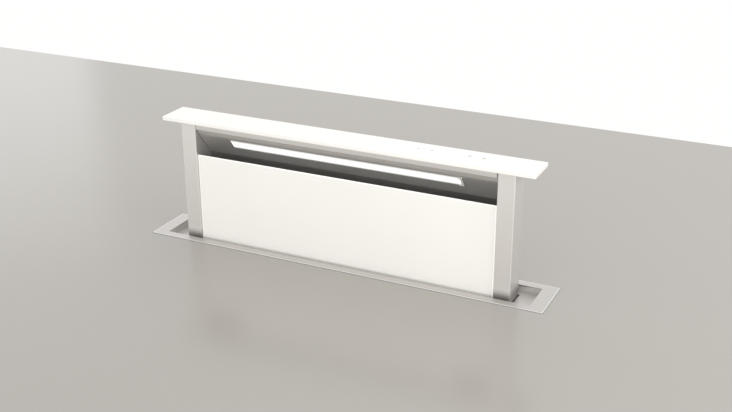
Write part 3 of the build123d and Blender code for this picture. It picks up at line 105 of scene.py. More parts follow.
# ---- colours of the finishes ----
GLASS_WHITE = (0.955, 0.94, 0.90)
STAINLESS = (0.86, 0.835, 0.805)
# the rail's steel: the stainless made a little darker, painted shade
RAIL_SHADED_STEEL = (0.84, 0.818, 0.79)
# the flange's steel: the stainless made darker, painted shade
FLANGE_SHADED_STEEL = (0.62, 0.597, 0.573)
# the intake's panel, back and end plates: the stainless made darker, painted shade
INTAKE_SHADED_STEEL = (0.66, 0.642, 0.615)
BACK_SHADED_STEEL = (0.60, 0.585, 0.565)
END_PLATE_SHADED_STEEL = (0.34, 0.333, 0.32)
SCREW_STEEL = (0.58, 0.58, 0.57)
GALVANISED = (0.52, 0.53, 0.54)
ZINC = (0.62, 0.62, 0.60)
ALUMINIUM = (0.74, 0.74, 0.745)
GEAR_CASE_GREY = (0.50, 0.51, 0.52)
NYLON = (0.80, 0.78, 0.72)
DARK_PLASTIC = (0.030, 0.030, 0.032)
GREY_PLASTIC = (0.33, 0.34, 0.35)
FAN_BLACK = (0.045, 0.045, 0.05)
FAN_CASE_BLACK = (0.09, 0.09, 0.095)
BLACK_ENAMEL = (0.035, 0.035, 0.038)
BOARD_GREEN = (0.02, 0.13, 0.06)
RUBBER = (0.022, 0.022, 0.022)
LENS_WHITE = (0.62, 0.62, 0.60)
END_CAP_GREY = (0.58, 0.58, 0.56)
CAP_RIM_GREY = (0.85, 0.85, 0.83)
MARK_GREY = (0.12, 0.117, 0.11)
# the film behind the front pane, dark as painted shade for the intake
BACKING_SHADE_GREY = (0.10, 0.098, 0.095)
# the flange seal's grey, dark to paint the shadow line at the rim's edge
SEAL_SHADOW_GREY = (0.30, 0.30, 0.29)
WORKTOP_COLOR = (0.368, 0.348, 0.318)
FLOOR_COLOR = (0.90, 0.90, 0.89)

finishes = {}


# ---- helpers for node materials ----
def material(name):
    """A new node material, kept in finishes under its name."""
    made = bpy.data.materials.new(name)
    made.use_nodes = True
    finishes[name] = made
    return made.node_tree, made.node_tree.nodes["Principled BSDF"]


def add(tree, kind, **settings):
    made = tree.nodes.new(kind)
    for key, value in settings.items():
        setattr(made, key, value)
    return made


def coordinates(tree, kind):
    """Object coordinates are the row frame in metres; Normal is a face's direction."""
    return add(tree, "ShaderNodeTexCoord").outputs[kind]


def place(tree, scale=(1, 1, 1), turn=(0, 0, 0)):
    """The row frame, scaled and turned for a texture."""
    mapping = add(tree, "ShaderNodeMapping")
    mapping.inputs["Scale"].default_value = scale
    mapping.inputs["Rotation"].default_value = turn
    tree.links.new(coordinates(tree, "Object"), mapping.inputs["Vector"])
    return mapping.outputs["Vector"]


def components(tree, vector):
    """The X, Y and Z of a vector."""
    apart = add(tree, "ShaderNodeSeparateXYZ")
    tree.links.new(vector, apart.inputs["Vector"])
    return apart.outputs


def unsigned(tree, vector):
    made = add(tree, "ShaderNodeVectorMath", operation="ABSOLUTE")
    tree.links.new(vector, made.inputs[0])
    return made.outputs["Vector"]


def less(tree, vector, amount):
    """A vector less a constant one."""
    made = add(tree, "ShaderNodeVectorMath", operation="SUBTRACT")
    made.inputs[1].default_value = amount
    tree.links.new(vector, made.inputs[0])
    return made.outputs["Vector"]


def combined(tree, operation, first, second):
    """Two values added, or the larger or smaller of them."""
    made = add(tree, "ShaderNodeMath", operation=operation)
    tree.links.new(first, made.inputs[0])
    tree.links.new(second, made.inputs[1])
    return made.outputs[0]


def average(tree, first, second):
    halved = add(tree, "ShaderNodeMath", operation="MULTIPLY")
    halved.inputs[1].default_value = 0.5
    tree.links.new(combined(tree, "ADD", first, second), halved.inputs[0])
    return halved.outputs[0]


def noise(tree, where, scale, detail=3.0, roughness=0.55):
    made = add(tree, "ShaderNodeTexNoise")
    made.inputs["Scale"].default_value = scale
    made.inputs["Detail"].default_value = detail
    made.inputs["Roughness"].default_value = roughness
    tree.links.new(where, made.inputs["Vector"])
    return made.outputs["Fac"]


def spread(tree, value, low, high, start=0.3, end=0.7, clamp=True):
    """Map start..end, a texture's usual range, to low..high.

    Unclamped, a texture has no visible contours."""
    made = add(tree, "ShaderNodeMapRange", clamp=clamp)
    made.inputs["From Min"].default_value = start
    made.inputs["From Max"].default_value = end
    made.inputs["To Min"].default_value = low
    made.inputs["To Max"].default_value = high
    tree.links.new(value, made.inputs["Value"])
    return made.outputs["Result"]


def scaled(tree, color, factor):
    """A colour, constant or linked, times a linked factor."""
    made = add(tree, "ShaderNodeVectorMath", operation="SCALE")
    if isinstance(color, tuple):
        made.inputs[0].default_value = color
    else:
        tree.links.new(color, made.inputs[0])
    tree.links.new(factor, made.inputs["Scale"])
    return made.outputs["Vector"]


def tint(tree, color, value, low, high, clamp=True):
    """A constant colour made darker and lighter by a texture."""
    return scaled(tree, color, spread(tree, value, low, high, clamp=clamp))


def bump(tree, shader, value, strength, distance):
    made = add(tree, "ShaderNodeBump")
    made.inputs["Strength"].default_value = strength
    made.inputs["Distance"].default_value = distance
    tree.links.new(value, made.inputs["Height"])
    tree.links.new(made.outputs["Normal"], shader.inputs["Normal"])


def look(tree, shader, color, rough):
    tree.links.new(color, shader.inputs["Base Color"])
    tree.links.new(rough, shader.inputs["Roughness"])


def preset(shader, **values):
    """Values that are the same all over the surface, on the shader's own sockets."""
    for key, value in values.items():
        shader.inputs[key.replace("_", " ")].default_value = value


# ---- tones that follow a part's shape: painted highlights and painted shade ----
FLAT = (0.86, 0.995)
EDGE_FULL = 0.6


def facing(tree):
    """How squarely a face looks along X, Y and Z, to either side: each from 0 to 1."""
    return components(tree, unsigned(tree, coordinates(tree, "Normal")))


def bend_highlight(tree, highlight):
    """1 on the flats and a factor on the bends that brightens them as a painted highlight."""
    looks = facing(tree)
    most = combined(tree, "MAXIMUM", looks["X"], looks["Y"])
    flat = combined(tree, "MAXIMUM", most, looks["Z"])
    return spread(tree, flat, highlight, 1.0, *FLAT)


def rising(tree, low_value, high_value, start, end):
    """low_value up to the height start, and high_value from the height end."""
    heights = components(tree, coordinates(tree, "Object"))["Z"]
    return spread(tree, heights, low_value, high_value, start, end)


def outline_edge(tree, node, inner, outer, axes, width):
    """outer for a width along a node's outer edges, inner elsewhere; axes picks the edges."""
    low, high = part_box(node)
    centred = less(tree, coordinates(tree, "Object"), (low + high) / 2)
    beyond = components(tree, less(tree, unsigned(tree, centred), (high - low) / 2))
    nearest = combined(tree, "MAXIMUM", beyond[axes[0]], beyond[axes[1]])
    return spread(tree, nearest, inner, outer, -width, -width * EDGE_FULL)


# ---- finishes ----
EVEN = (0.985, 1.015)
GRAIN_ACROSS = 900.0
GRAIN_ALONG = 9.0
GRAIN_GLOSS = 0.012
# a painted highlight along the flange's outer edges: its width and how much brighter it is
FLANGE_EDGE = 0.0014
FLANGE_EDGE_HIGHLIGHT = 1.85
GLASS_EDGE = 0.0022
MOULDED_GLOSS = 0.06
MESH_DIAMOND = 0.0045
WAVES_PER_UNIT = pi / 10
SECOND_GREEN = (1.4, 1.3, 1.3)
TRACK_GREEN = (2.4, 1.9, 1.8)
LENS_BRIGHT = 0.45
LENS_FADED = 0.8


def brushed_metal(name, color, grain, rough, highlight=1.25, metallic=1.0, edge=None,
                  side_shade=None, foot=None, recess=None):
    """Brushed sheet: fine streaks along one axis, slow changes of tone, and bends made brighter as
    a painted highlight.

    edge names a node whose outer edges are made brighter as a painted highlight.
    The tone of the sides is painted shade: it darkens the faces to the left and right.
    foot is painted shade on the lowest part: its tone, the height up to which it holds, and where
    it has faded.
    recess is how metallic a sunk part is, dulled by dust, and two heights in the same way."""
    tree, shader = material(name)
    scale = [GRAIN_ACROSS] * 3
    scale["XYZ".index(grain)] = GRAIN_ALONG
    streaks = noise(tree, place(tree, scale), scale=1.0, detail=5.0, roughness=0.6)
    clouds = noise(tree, place(tree), scale=6.0)
    tone = tint(tree, color, average(tree, streaks, clouds), *EVEN, clamp=False)
    # painted highlight: the bends' colour made brighter
    tone = scaled(tree, tone, bend_highlight(tree, highlight))
    if edge:
        # painted highlight along the named node's outer edges
        rim = outline_edge(tree, edge, 1.0, FLANGE_EDGE_HIGHLIGHT, "XY", FLANGE_EDGE)
        tone = scaled(tree, tone, rim)
    # painted shade: faces looking along X made darker
    if side_shade:
        tone = scaled(tree, tone, spread(tree, facing(tree)["X"], 1.0, side_shade))
    # painted shade: darker towards the bottom
    if foot:
        dark, holds, gone = foot
        tone = scaled(tree, tone, rising(tree, dark, 1.0, holds, gone))
    look(tree, shader, tone, spread(tree, streaks, rough - GRAIN_GLOSS, rough + GRAIN_GLOSS))
    bump(tree, shader, streaks, strength=0.015, distance=0.0001)
    if recess:
        dull, holds, gone = recess
        tree.links.new(rising(tree, dull, metallic, holds, gone), shader.inputs["Metallic"])
    else:
        preset(shader, Metallic=metallic)


def painted_glass(name, color, edge=None):
    """Glass painted white on its back, slightly warm; a named pane's ground edges glow as a painted
    highlight.
    """
    tree, shader = material(name)
    # faint vertical bands in the glass's colour: a painted reflection
    bands = noise(tree, place(tree, (7.0, 0.3, 0.5)), scale=1.0, detail=1.0)
    clouds = noise(tree, place(tree), scale=4.0)
    ripple = noise(tree, place(tree), scale=7.0, detail=1.0)
    look(tree, shader, tint(tree, color, average(tree, bands, clouds), 0.975, 1.015, clamp=False),
         spread(tree, ripple, 0.012, 0.03, clamp=False))
    bump(tree, shader, ripple, strength=0.008, distance=0.002)
    # painted highlight: the pane's edges glow, though they are no lamp
    if edge:
        glow = scaled(tree, color, outline_edge(tree, edge, 0.0, 1.0, "XZ", GLASS_EDGE))
        tree.links.new(glow, shader.inputs["Emission Color"])
        preset(shader, Emission_Strength=GLASS_EDGE_PAINTED_GLOW)
    preset(shader, IOR=1.52, Coat_Weight=0.5, Coat_Roughness=0.01)


def galvanised(name, color):
    """Zinc-coated sheet: crystals of slightly different grey and gloss."""
    tree, shader = material(name)
    crystals = add(tree, "ShaderNodeTexVoronoi")
    crystals.inputs["Scale"].default_value = 85.0
    tree.links.new(place(tree), crystals.inputs["Vector"])
    apart = add(tree, "ShaderNodeSeparateColor")
    tree.links.new(crystals.outputs["Color"], apart.inputs["Color"])
    grey, gloss = apart.outputs["Red"], apart.outputs["Green"]
    clouds = noise(tree, place(tree), scale=14.0)
    look(tree, shader, tint(tree, color, average(tree, grey, clouds), 0.86, 1.08),
         spread(tree, gloss, 0.36, 0.52, start=0.0, end=1.0))
    bump(tree, shader, grey, strength=0.05, distance=0.0002)
    preset(shader, Metallic=0.85)


def moulded(name, color, rough, grain_scale=900.0, relief=0.12):
    """Moulded plastic or rubber with a fine spark-eroded grain."""
    tree, shader = material(name)
    grain = noise(tree, place(tree), grain_scale, detail=2.0)
    clouds = noise(tree, place(tree), scale=18.0)
    look(tree, shader, tint(tree, color, average(tree, grain, clouds), 0.90, 1.12),
         spread(tree, clouds, rough - MOULDED_GLOSS, rough + MOULDED_GLOSS))
    bump(tree, shader, grain, relief, distance=0.0002)


def cast_metal(name, color):
    """Die-cast metal: a fine orange-peel skin, duller in its hollows."""
    tree, shader = material(name)
    peel = noise(tree, place(tree), scale=420.0, detail=4.0)
    clouds = noise(tree, place(tree), scale=30.0)
    look(tree, shader, tint(tree, color, average(tree, peel, clouds), 0.85, 1.10),
         spread(tree, clouds, 0.38, 0.55))
    bump(tree, shader, peel, strength=0.2, distance=0.0003)
    preset(shader, Metallic=0.9)


def enamel(name, color):
    """Baked enamel on a motor's can, with a faint orange peel."""
    tree, shader = material(name)
    peel = noise(tree, place(tree), scale=260.0, detail=2.0)
    look(tree, shader, tint(tree, color, peel, 0.9, 1.15), spread(tree, peel, 0.26, 0.34))
    bump(tree, shader, peel, strength=0.08, distance=0.0003)
    preset(shader, Coat_Weight=0.3, Coat_Roughness=0.12)


def filter_mesh(name, color):
    """Expanded aluminium: bright strands round dark diamond openings."""
    tree, shader = material(name)
    bands = []
    for turn in (radians(35), radians(-35)):
        wave = add(tree, "ShaderNodeTexWave", wave_type="BANDS", bands_direction="X")
        wave.inputs["Scale"].default_value = WAVES_PER_UNIT / MESH_DIAMOND
        tree.links.new(place(tree, turn=(0, turn, 0)), wave.inputs["Vector"])
        bands.append(wave.outputs["Fac"])
    opening = combined(tree, "MINIMUM", *bands)
    look(tree, shader, tint(tree, color, opening, 1.0, 0.12), spread(tree, opening, 0.28, 0.7))
    bump(tree, shader, opening, strength=0.6, distance=-0.0008)
    preset(shader, Metallic=0.9)


def circuit_board(name, color):
    """Green solder mask with slightly raised lighter tracks."""
    tree, shader = material(name)
    tracks = add(tree, "ShaderNodeTexBrick")
    tracks.inputs["Scale"].default_value = 160.0
    tracks.inputs["Mortar Size"].default_value = 0.03
    for socket, times in (("Color1", (1, 1, 1)), ("Color2", SECOND_GREEN), ("Mortar", TRACK_GREEN)):
        shade = [part * factor for part, factor in zip(color, times)]
        tracks.inputs[socket].default_value = (*shade, 1)
    tree.links.new(place(tree), tracks.inputs["Vector"])
    tree.links.new(tracks.outputs["Color"], shader.inputs["Base Color"])
    bump(tree, shader, tracks.outputs["Fac"], strength=0.3, distance=0.0001)
    preset(shader, Roughness=0.32)


def light_lens(name, middle, down, half_width):
    """Opal diffuser lit from behind: dimmer along its long edges, with faint rows of diodes."""
    tree, shader = material(name)
    offset = add(tree, "ShaderNodeVectorMath", operation="DOT_PRODUCT")
    offset.inputs[1].default_value = down
    tree.links.new(less(tree, coordinates(tree, "Object"), middle), offset.inputs[0])
    drop = offset.outputs["Value"]
    bright = half_width * LENS_BRIGHT
    upper = spread(tree, drop, LENS_EDGE_GLOW, 1.0, -half_width, -bright)
    lower = spread(tree, drop, 1.0, LENS_EDGE_GLOW, bright, half_width * LENS_FADED)
    fading = combined(tree, "MINIMUM", upper, lower)
    rows = noise(tree, place(tree, (38, 1, 1)), scale=1.0, detail=1.0)
    glow = scaled(tree, tint(tree, LENS_LIGHT, rows, *EVEN), fading)
    tree.links.new(glow, shader.inputs["Emission Color"])
    frost = noise(tree, place(tree), scale=700.0, detail=2.0)
    tree.links.new(tint(tree, LENS_WHITE, frost, 0.98, 1.02), shader.inputs["Base Color"])
    bump(tree, shader, frost, strength=0.05, distance=0.0002)
    preset(shader, Emission_Strength=LENS_GLOW, Roughness=0.35)


def worktop_surface(name, color):
    """Satin solid surface with a very fine speckle."""
    tree, shader = material(name)
    speckle = noise(tree, place(tree), scale=900.0, detail=2.0)
    clouds = noise(tree, place(tree), scale=1.5)
    look(tree, shader, tint(tree, color, average(tree, speckle, clouds), *EVEN, clamp=False),
         spread(tree, clouds, 0.21, 0.23, clamp=False))
    preset(shader, IOR=1.9)


def floor_surface(name, color):
    tree, shader = material(name)
    clouds = noise(tree, place(tree), scale=0.8)
    tree.links.new(tint(tree, color, clouds, 0.99, 1.01, clamp=False), shader.inputs["Base Color"])
    preset(shader, Roughness=0.8)


# ---- the sloped panel and its light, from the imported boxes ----
LIP_HEIGHT = 0.012
RAIL_SHEET = 0.0012
LENS_FROM_TOP = 0.0228
LENS_WIDTH = 0.0267
LENS_FLANGE = 0.0015

panel_low, panel_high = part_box("sloped_panel")
rail_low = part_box("top_rail")[0]
panel_drop = rail_low.z - panel_low.z - LIP_HEIGHT
panel_top = Vector((0, rail_low.y + RAIL_SHEET, rail_low.z))
panel_down = Vector((0, panel_high.y - panel_top.y, -panel_drop)).normalized()
panel_out = Vector((0, panel_down.z, -panel_down.y))
lens_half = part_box("led_lens")[1].x - LENS_FLANGE
lens_foot = LENS_FROM_TOP + LENS_WIDTH
lens_middle = panel_top + panel_down * (LENS_FROM_TOP + LENS_WIDTH / 2)

# ---- the finishes of the nodes, of the small pieces and of the stage ----
UPRIGHT_METALLIC = 0.66
# the uprights' sides darkened as painted shade
UPRIGHT_SIDE_SHADE = 0.83
# the uprights' foot darkened as painted shade: tone, height it holds to, height where it has faded
UPRIGHT_FOOT_SHADE = (0.42, 0.001, 0.018)
PANEL_METALLIC = 0.70
# the sloped panel's lower lip darkened as painted shade: tone, height it holds to, height where it
# has faded
PANEL_LIP_SHADE = (0.57, 0.1830, 0.1842)
FLANGE_RECESS = (0.40, -0.0020, -0.0005)

painted_glass("white_glass", GLASS_WHITE)
painted_glass("pane_glass_edge_highlight", GLASS_WHITE, edge="front_glass")
brushed_metal("stainless", STAINLESS, "X", 0.30)
brushed_metal("stainless_rail_shaded", RAIL_SHADED_STEEL, "X", 0.30)
brushed_metal("stainless_upright_shaded", STAINLESS, "Z", 0.40, metallic=UPRIGHT_METALLIC,
              side_shade=UPRIGHT_SIDE_SHADE, foot=UPRIGHT_FOOT_SHADE)
# the flange: darker steel as painted shade, with a painted highlight on its outer edges
brushed_metal("stainless_flange_shaded", FLANGE_SHADED_STEEL, "X", 0.30, edge="flange_frame",
              recess=FLANGE_RECESS)
# the intake's back, end plates and panel: darker copies of the stainless, painted shade
brushed_metal("stainless_back_shaded", BACK_SHADED_STEEL, "X", 0.42, highlight=1.0)
brushed_metal("stainless_plate_shaded", END_PLATE_SHADED_STEEL, "Z", 0.45, highlight=1.0)
brushed_metal("stainless_panel_shaded", INTAKE_SHADED_STEEL, "X", 0.38, highlight=1.0, metallic=PANEL_METALLIC,
              foot=PANEL_LIP_SHADE)
galvanised("galvanised", GALVANISED)
cast_metal("zinc_steel", ZINC)
light_lens("lens", lens_middle, panel_down, LENS_WIDTH / 2)
circuit_board("circuit_board", BOARD_GREEN)
moulded("rubber", RUBBER, 0.75)
brushed_metal("filter_aluminium", ALUMINIUM, "X", 0.36)
filter_mesh("filter_mesh", ALUMINIUM)
moulded("latch_plastic", DARK_PLASTIC, 0.45)
moulded("gear_nylon", NYLON, 0.42, grain_scale=500.0, relief=0.06)
moulded("black_plastic", DARK_PLASTIC, 0.5)
cast_metal("gear_case", GEAR_CASE_GREY)
enamel("motor_can", BLACK_ENAMEL)
moulded("fan_plastic", FAN_BLACK, 0.48)
moulded("fan_case", FAN_CASE_BLACK, 0.5)
brushed_metal("damper_aluminium", ALUMINIUM, "Z", 0.4)
moulded("grey_plastic", GREY_PLASTIC, 0.5)
moulded("smoked_cap", END_CAP_GREY, 0.22)
moulded("cap_rim", CAP_RIM_GREY, 0.3)
moulded("mark_print", MARK_GREY, 0.4)
moulded("backing_film_shade", BACKING_SHADE_GREY, 0.5)
moulded("seal_foam_shadow", SEAL_SHADOW_GREY, 0.8)
cast_metal("screw_steel", SCREW_STEEL)
worktop_surface("worktop", WORKTOP_COLOR)
floor_surface("floor", FLOOR_COLOR)

own_finish = {
    "front_glass": "pane_glass_edge_highlight",
    "flange_frame": "stainless_flange_shaded",
    "left_column": "stainless_upright_shaded",
    "right_column": "stainless_upright_shaded",
    "top_rail": "stainless_rail_shaded",
    "sloped_panel": "stainless_panel_shaded",
    "back_panel": "stainless_back_shaded",
    "light_end_plates": "stainless_plate_shaded",
    "light_end_cap": "smoked_cap",
}
slots = {part["node"]: part["material_slot"] for part in frame["record"]["subparts"]}


def finish_nodes():
    """Every CAD node gets its own finish, or else the one of its material slot."""
    for name, node in frame["nodes"].items():
        node.data.materials.clear()
        node.data.materials.append(finishes[own_finish.get(name, slots[name])])


# ---- helpers for meshes and objects ----
ARC_STEPS = 24
CORNER_STEPS = 6
SHARP_ANGLE = radians(35)


def between(first, last, count):
    """Evenly spaced values, both ends included."""
    return [first + (last - first) * i / (count - 1) for i in range(count)]


def around(x, y, radius, degrees):
    """The point on a circle at an angle from the first axis."""
    angle = radians(degrees)
    return x + radius * cos(angle), y + radius * sin(angle)


def rectangle(left, right, front, back):
    return [(left, front), (right, front), (right, back), (left, back)]


def rounded_outline(across, up, corner):
    """The corner-rounded outline between two pairs of limits, counterclockwise."""
    left, right = across[0] + corner, across[1] - corner
    foot, top = up[0] + corner, up[1] - corner
    points = []
    for x, y, start in ((right, top, 0), (left, top, 90), (left, foot, 180), (right, foot, 270)):
        for angle in between(start, start + 90, CORNER_STEPS + 1):
            points.append(around(x, y, corner, angle))
    return points


def ring(made, outline, z):
    return [made.verts.new((x, y, z)) for x, y in outline]


def band(made, near, far):
    """Faces between two rings of as many points."""
    for i in range(len(near)):
        j = (i + 1) % len(near)
        made.faces.new((near[i], near[j], far[j], far[i]))


def closed_bands(made, rings):
    """Faces from each ring to the next, and from the last to the first."""
    for near, far in zip(rings, rings[1:] + rings[:1]):
        band(made, near, far)


def prism(made, outline, near, far):
    """A plate between two copies of an outline; near and far give each point's place."""
    low = [made.verts.new(near(*point)) for point in outline]
    high = [made.verts.new(far(*point)) for point in outline]
    made.faces.new(high)
    made.faces.new(reversed(low))
    band(made, low, high)


def plain_mesh(made, name):
    mesh = bpy.data.meshes.new(name)
    made.to_mesh(mesh)
    made.free()
    return mesh


def finished_mesh(made, name):
    """The mesh with its faces outwards, smooth but for its sharp edges."""
    bmesh.ops.recalc_face_normals(made, faces=made.faces[:])
    mesh = plain_mesh(made, name)
    for face in mesh.polygons:
        face.use_smooth = True
    mesh.set_sharp_from_angle(angle=SHARP_ANGLE)
    return mesh


def new_object(name, data):
    made = bpy.data.objects.new(name, data)
    bpy.context.scene.collection.objects.link(made)
    return made


def riding_piece(mesh, finish, body):
    """A piece of the part, named after its mesh."""
    piece = new_object(mesh.name, mesh)
    mesh.materials.append(finishes[finish])
    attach(piece, body)


def stage_piece(mesh, finish):
    piece = new_object(mesh.name, mesh)
    mesh.materials.append(finishes[finish])


# ---- touch symbols on the cap ----
MARK_THICKNESS = 0.00006
MARK_SIZE = 0.0060
MARK_HALF = MARK_SIZE / 2
MARK_LINE = 0.0013
THIN_LINE = MARK_LINE * 0.8
RAY_LINE = MARK_LINE * 0.7
MARK_Y = 0.0062
MINUS_X = 0.1606
ARROW_X = 0.190
LAMP_X = 0.2684
POWER_X = 0.2983
BULB_RADIUS = MARK_HALF * 0.6
RAY_END = MARK_HALF * 1.4
POWER_ARC = (120, 420)
STEM_FOOT = MARK_HALF * 0.2
STEM_TOP = MARK_HALF * 1.3


def bar(made, start, end, width, levels):
    """A flat bar from one (x, y) point to another, between two heights."""
    start, end = Vector(start), Vector(end)
    along = (end - start).normalized()
    side = Vector((-along.y, along.x)) * width / 2
    corners = (start - side, end - side, end + side, start + side)
    prism(made, corners, lambda x, y: (x, y, levels[0]), lambda x, y: (x, y, levels[1]))


def arc(made, x, y, radius, limits, width, levels):
    """A flat curved bar between two angles."""
    points = [around(x, y, radius, angle) for angle in between(*limits, ARC_STEPS + 1)]
    for first, second in zip(points, points[1:]):
        bar(made, first, second, width, levels)


def touch_marks():
    """The printed touch symbols on the cap: minus, arrow, lamp and power, all generic."""
    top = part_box("cap_glass")[1].z
    levels = (top - MARK_THICKNESS, top + MARK_THICKNESS)
    made = bmesh.new()
    bar(made, (MINUS_X - MARK_HALF, MARK_Y), (MINUS_X + MARK_HALF, MARK_Y), MARK_LINE, levels)
    tip = (ARROW_X, MARK_Y + MARK_HALF / 2)
    foot = MARK_Y - MARK_HALF / 2
    bar(made, (ARROW_X - MARK_HALF, foot), tip, MARK_LINE, levels)
    bar(made, tip, (ARROW_X + MARK_HALF, foot), MARK_LINE, levels)
    arc(made, LAMP_X, MARK_Y, BULB_RADIUS, (0, 360), THIN_LINE, levels)
    for angle in range(0, 181, 45):
        near = around(LAMP_X, MARK_Y, MARK_HALF, angle)
        far = around(LAMP_X, MARK_Y, RAY_END, angle)
        bar(made, near, far, RAY_LINE, levels)
    arc(made, POWER_X, MARK_Y, MARK_HALF, POWER_ARC, THIN_LINE, levels)
    bar(made, (POWER_X, MARK_Y + STEM_FOOT), (POWER_X, MARK_Y + STEM_TOP), THIN_LINE, levels)
    riding_piece(plain_mesh(made, "touch_marks"), "mark_print", "carriage")


# ---- intake: a gasket that paints the light's shadow line, and end rim of the light ----
GASKET_WIDTH = 0.0006
GASKET_PROUD = 0.0009
CAP_FACE = 0.0016
CAP_RIM_WIDTH = 0.0010
CAP_RIM_PROUD = 0.0004


def plate_on_panel(made, outline, low, high):
    """A plate on the sloped panel, its outline given along the vent and down the slope."""
    def raised(out):
        return lambda x, down: (panel_top + Vector((x, 0, 0)) + panel_down * down
                                + panel_out * out)
    prism(made, outline, raised(low), raised(high))


def lens_shadow_gasket():
    """A thin dark gasket below the light and at its two ends, left open at the top; its dark paints
    the shadow line round the light.
    """
    wide = lens_half + GASKET_WIDTH
    foot = lens_foot + GASKET_WIDTH
    outline = [(-wide, LENS_FROM_TOP), (-lens_half, LENS_FROM_TOP), (-lens_half, lens_foot),
               (lens_half, lens_foot), (lens_half, LENS_FROM_TOP), (wide, LENS_FROM_TOP),
               (wide, foot), (-wide, foot)]
    made = bmesh.new()
    plate_on_panel(made, outline, 0, GASKET_PROUD)
    riding_piece(finished_mesh(made, "lens_shadow_gasket"), "black_plastic", "carriage")


def light_end_rim():
    """The pale moulded rim along the outer edges of the light's end cap."""
    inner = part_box("light_end_cap")[0].x
    side = lens_half - CAP_RIM_WIDTH
    outline = [(side, LENS_FROM_TOP), (lens_half, LENS_FROM_TOP), (lens_half, lens_foot),
               (inner, lens_foot), (inner, lens_foot - CAP_RIM_WIDTH / 2),
               (side, lens_foot - CAP_RIM_WIDTH)]
    made = bmesh.new()
    plate_on_panel(made, outline, CAP_FACE, CAP_FACE + CAP_RIM_PROUD)
    riding_piece(finished_mesh(made, "light_end_rim"), "cap_rim", "carriage")


# ---- film on the front glass and seal of the flange, both made dark as painted shade ----
BACKING_INSET = 0.0012
BACKING_THICKNESS = 0.0002
BACKING_CORNER = 0.006
SEAL_OUT = 0.0011
SEAL_IN = 0.0020
SEAL_HEIGHT = 0.0005
FLANGE_CORNER = 0.0025


def glass_backing_shade():
    """A film on the back of the painted front glass; its dark grey is painted shade that darkens
    the intake behind the pane.
    """
    low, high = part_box("front_glass")
    outline = rounded_outline((low.x + BACKING_INSET, high.x - BACKING_INSET),
                              (low.z + BACKING_INSET, high.z - BACKING_INSET), BACKING_CORNER)
    glass = high.y
    back = high.y + BACKING_THICKNESS
    made = bmesh.new()
    prism(made, outline, lambda x, z: (x, glass, z), lambda x, z: (x, back, z))
    mesh = finished_mesh(made, "glass_backing_shade")
    riding_piece(mesh, "backing_film_shade", "front_panel")


def flange_seal():
    """A foam seal round the flange; its dark grey paints the shadow line round the flange's rim."""
    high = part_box("flange_frame")[1]
    section = ((SEAL_OUT, 0), (SEAL_OUT, SEAL_HEIGHT), (-SEAL_IN, SEAL_HEIGHT), (-SEAL_IN, 0))
    made = bmesh.new()
    rings = []
    for reach, z in section:
        x, y = high.x + reach, high.y + reach
        rings.append(ring(made, rounded_outline((-x, x), (-y, y), FLANGE_CORNER + reach), z))
    closed_bands(made, rings)
    riding_piece(finished_mesh(made, "flange_seal"), "seal_foam_shadow", "housing")


# ---- screws, rivets and bolts ----
COVER_EMBOSS = 0.004
COVER_SCREW = 0.0034
COVER_SCREW_INSET = 0.0050
COVER_SCREWS_A_SIDE = 4
COLLAR_FLANGE = 0.003
COLLAR_SCREWS = 6
COLLAR_SCREW = 0.0034
COLLAR_SCREW_INSET = 0.0055
LID_SCREW = 0.0032
LID_SCREW_INSET = 0.0095
RIVET = 0.0026
RIVET_PITCH = 0.090
RIVET_FROM_EDGE = 0.006
RIVET_FROM_FOOT = 0.018
RIVET_FROM_SIDE = 0.036
BRACKET_SHEET = 0.0025
BRACKET_BOLT = 0.0062
BRACKET_BOLT_DROP = 0.037
BRACKET_BOLT_Y = 0.015
ROUND_SIDES = 20
HEX_SIDES = 6
RIVET_SIDES = 16

# each outline is (radius, height) in screw sizes, from the seat up to the head's top
WASHER = ((1.0, 0.0), (1.0, 0.14), (0.92, 0.22), (0.60, 0.24))
HEX_HEAD = ((0.72, 0.20), (0.72, 0.62), (0.60, 0.72), (0.36, 0.72), (0.30, 0.66))
RIVET_HEAD = ((1.0, 0.0), (0.97, 0.18), (0.84, 0.36), (0.60, 0.50), (0.34, 0.55), (0.28, 0.48))


def turned(made, spot, out, size, outline, sides):
    """A closed turned or many-sided head, standing on a spot and facing out."""
    upright = out.to_track_quat("Z", "Y").to_matrix()
    rings = []
    for radius, level in outline:
        points = [Vector((*around(0, 0, radius, 360 * i / sides), level)) for i in range(sides)]
        rings.append([made.verts.new(spot + upright @ (point * size)) for point in points])
    for low, high in zip(rings, rings[1:]):
        band(made, low, high)
    made.faces.new(rings[-1])
    made.faces.new(reversed(rings[0]))


def hex_screw(made, spot, out, size):
    """A hexagon-head sheet screw with its formed washer."""
    turned(made, spot, out, size, WASHER, ROUND_SIDES)
    turned(made, spot, out, size, HEX_HEAD, HEX_SIDES)


def rivet(made, spot, out, size):
    turned(made, spot, out, size, RIVET_HEAD, RIVET_SIDES)


def fasteners(name, spots, head, size):
    """One piece of alike heads on the housing, each a (spot, direction)."""
    made = bmesh.new()
    for spot, out in spots:
        head(made, Vector(spot), Vector(out), size)
    riding_piece(finished_mesh(made, name), "screw_steel", "housing")


def cover_screws():
    """Screws round the blower's cover."""
    low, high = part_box("blower_cover")
    y = low.y + COVER_EMBOSS
    x_ends = (low.x + COVER_SCREW_INSET, high.x - COVER_SCREW_INSET)
    z_ends = (low.z + COVER_SCREW_INSET, high.z - COVER_SCREW_INSET)
    places = [(x, z) for x in between(*x_ends, COVER_SCREWS_A_SIDE) for z in z_ends]
    places += [(x, z) for z in between(*z_ends, COVER_SCREWS_A_SIDE)[1:-1] for x in x_ends]
    spots = [((x, y, z), (0, -1, 0)) for x, z in places]
    fasteners("cover_screws", spots, hex_screw, COVER_SCREW)


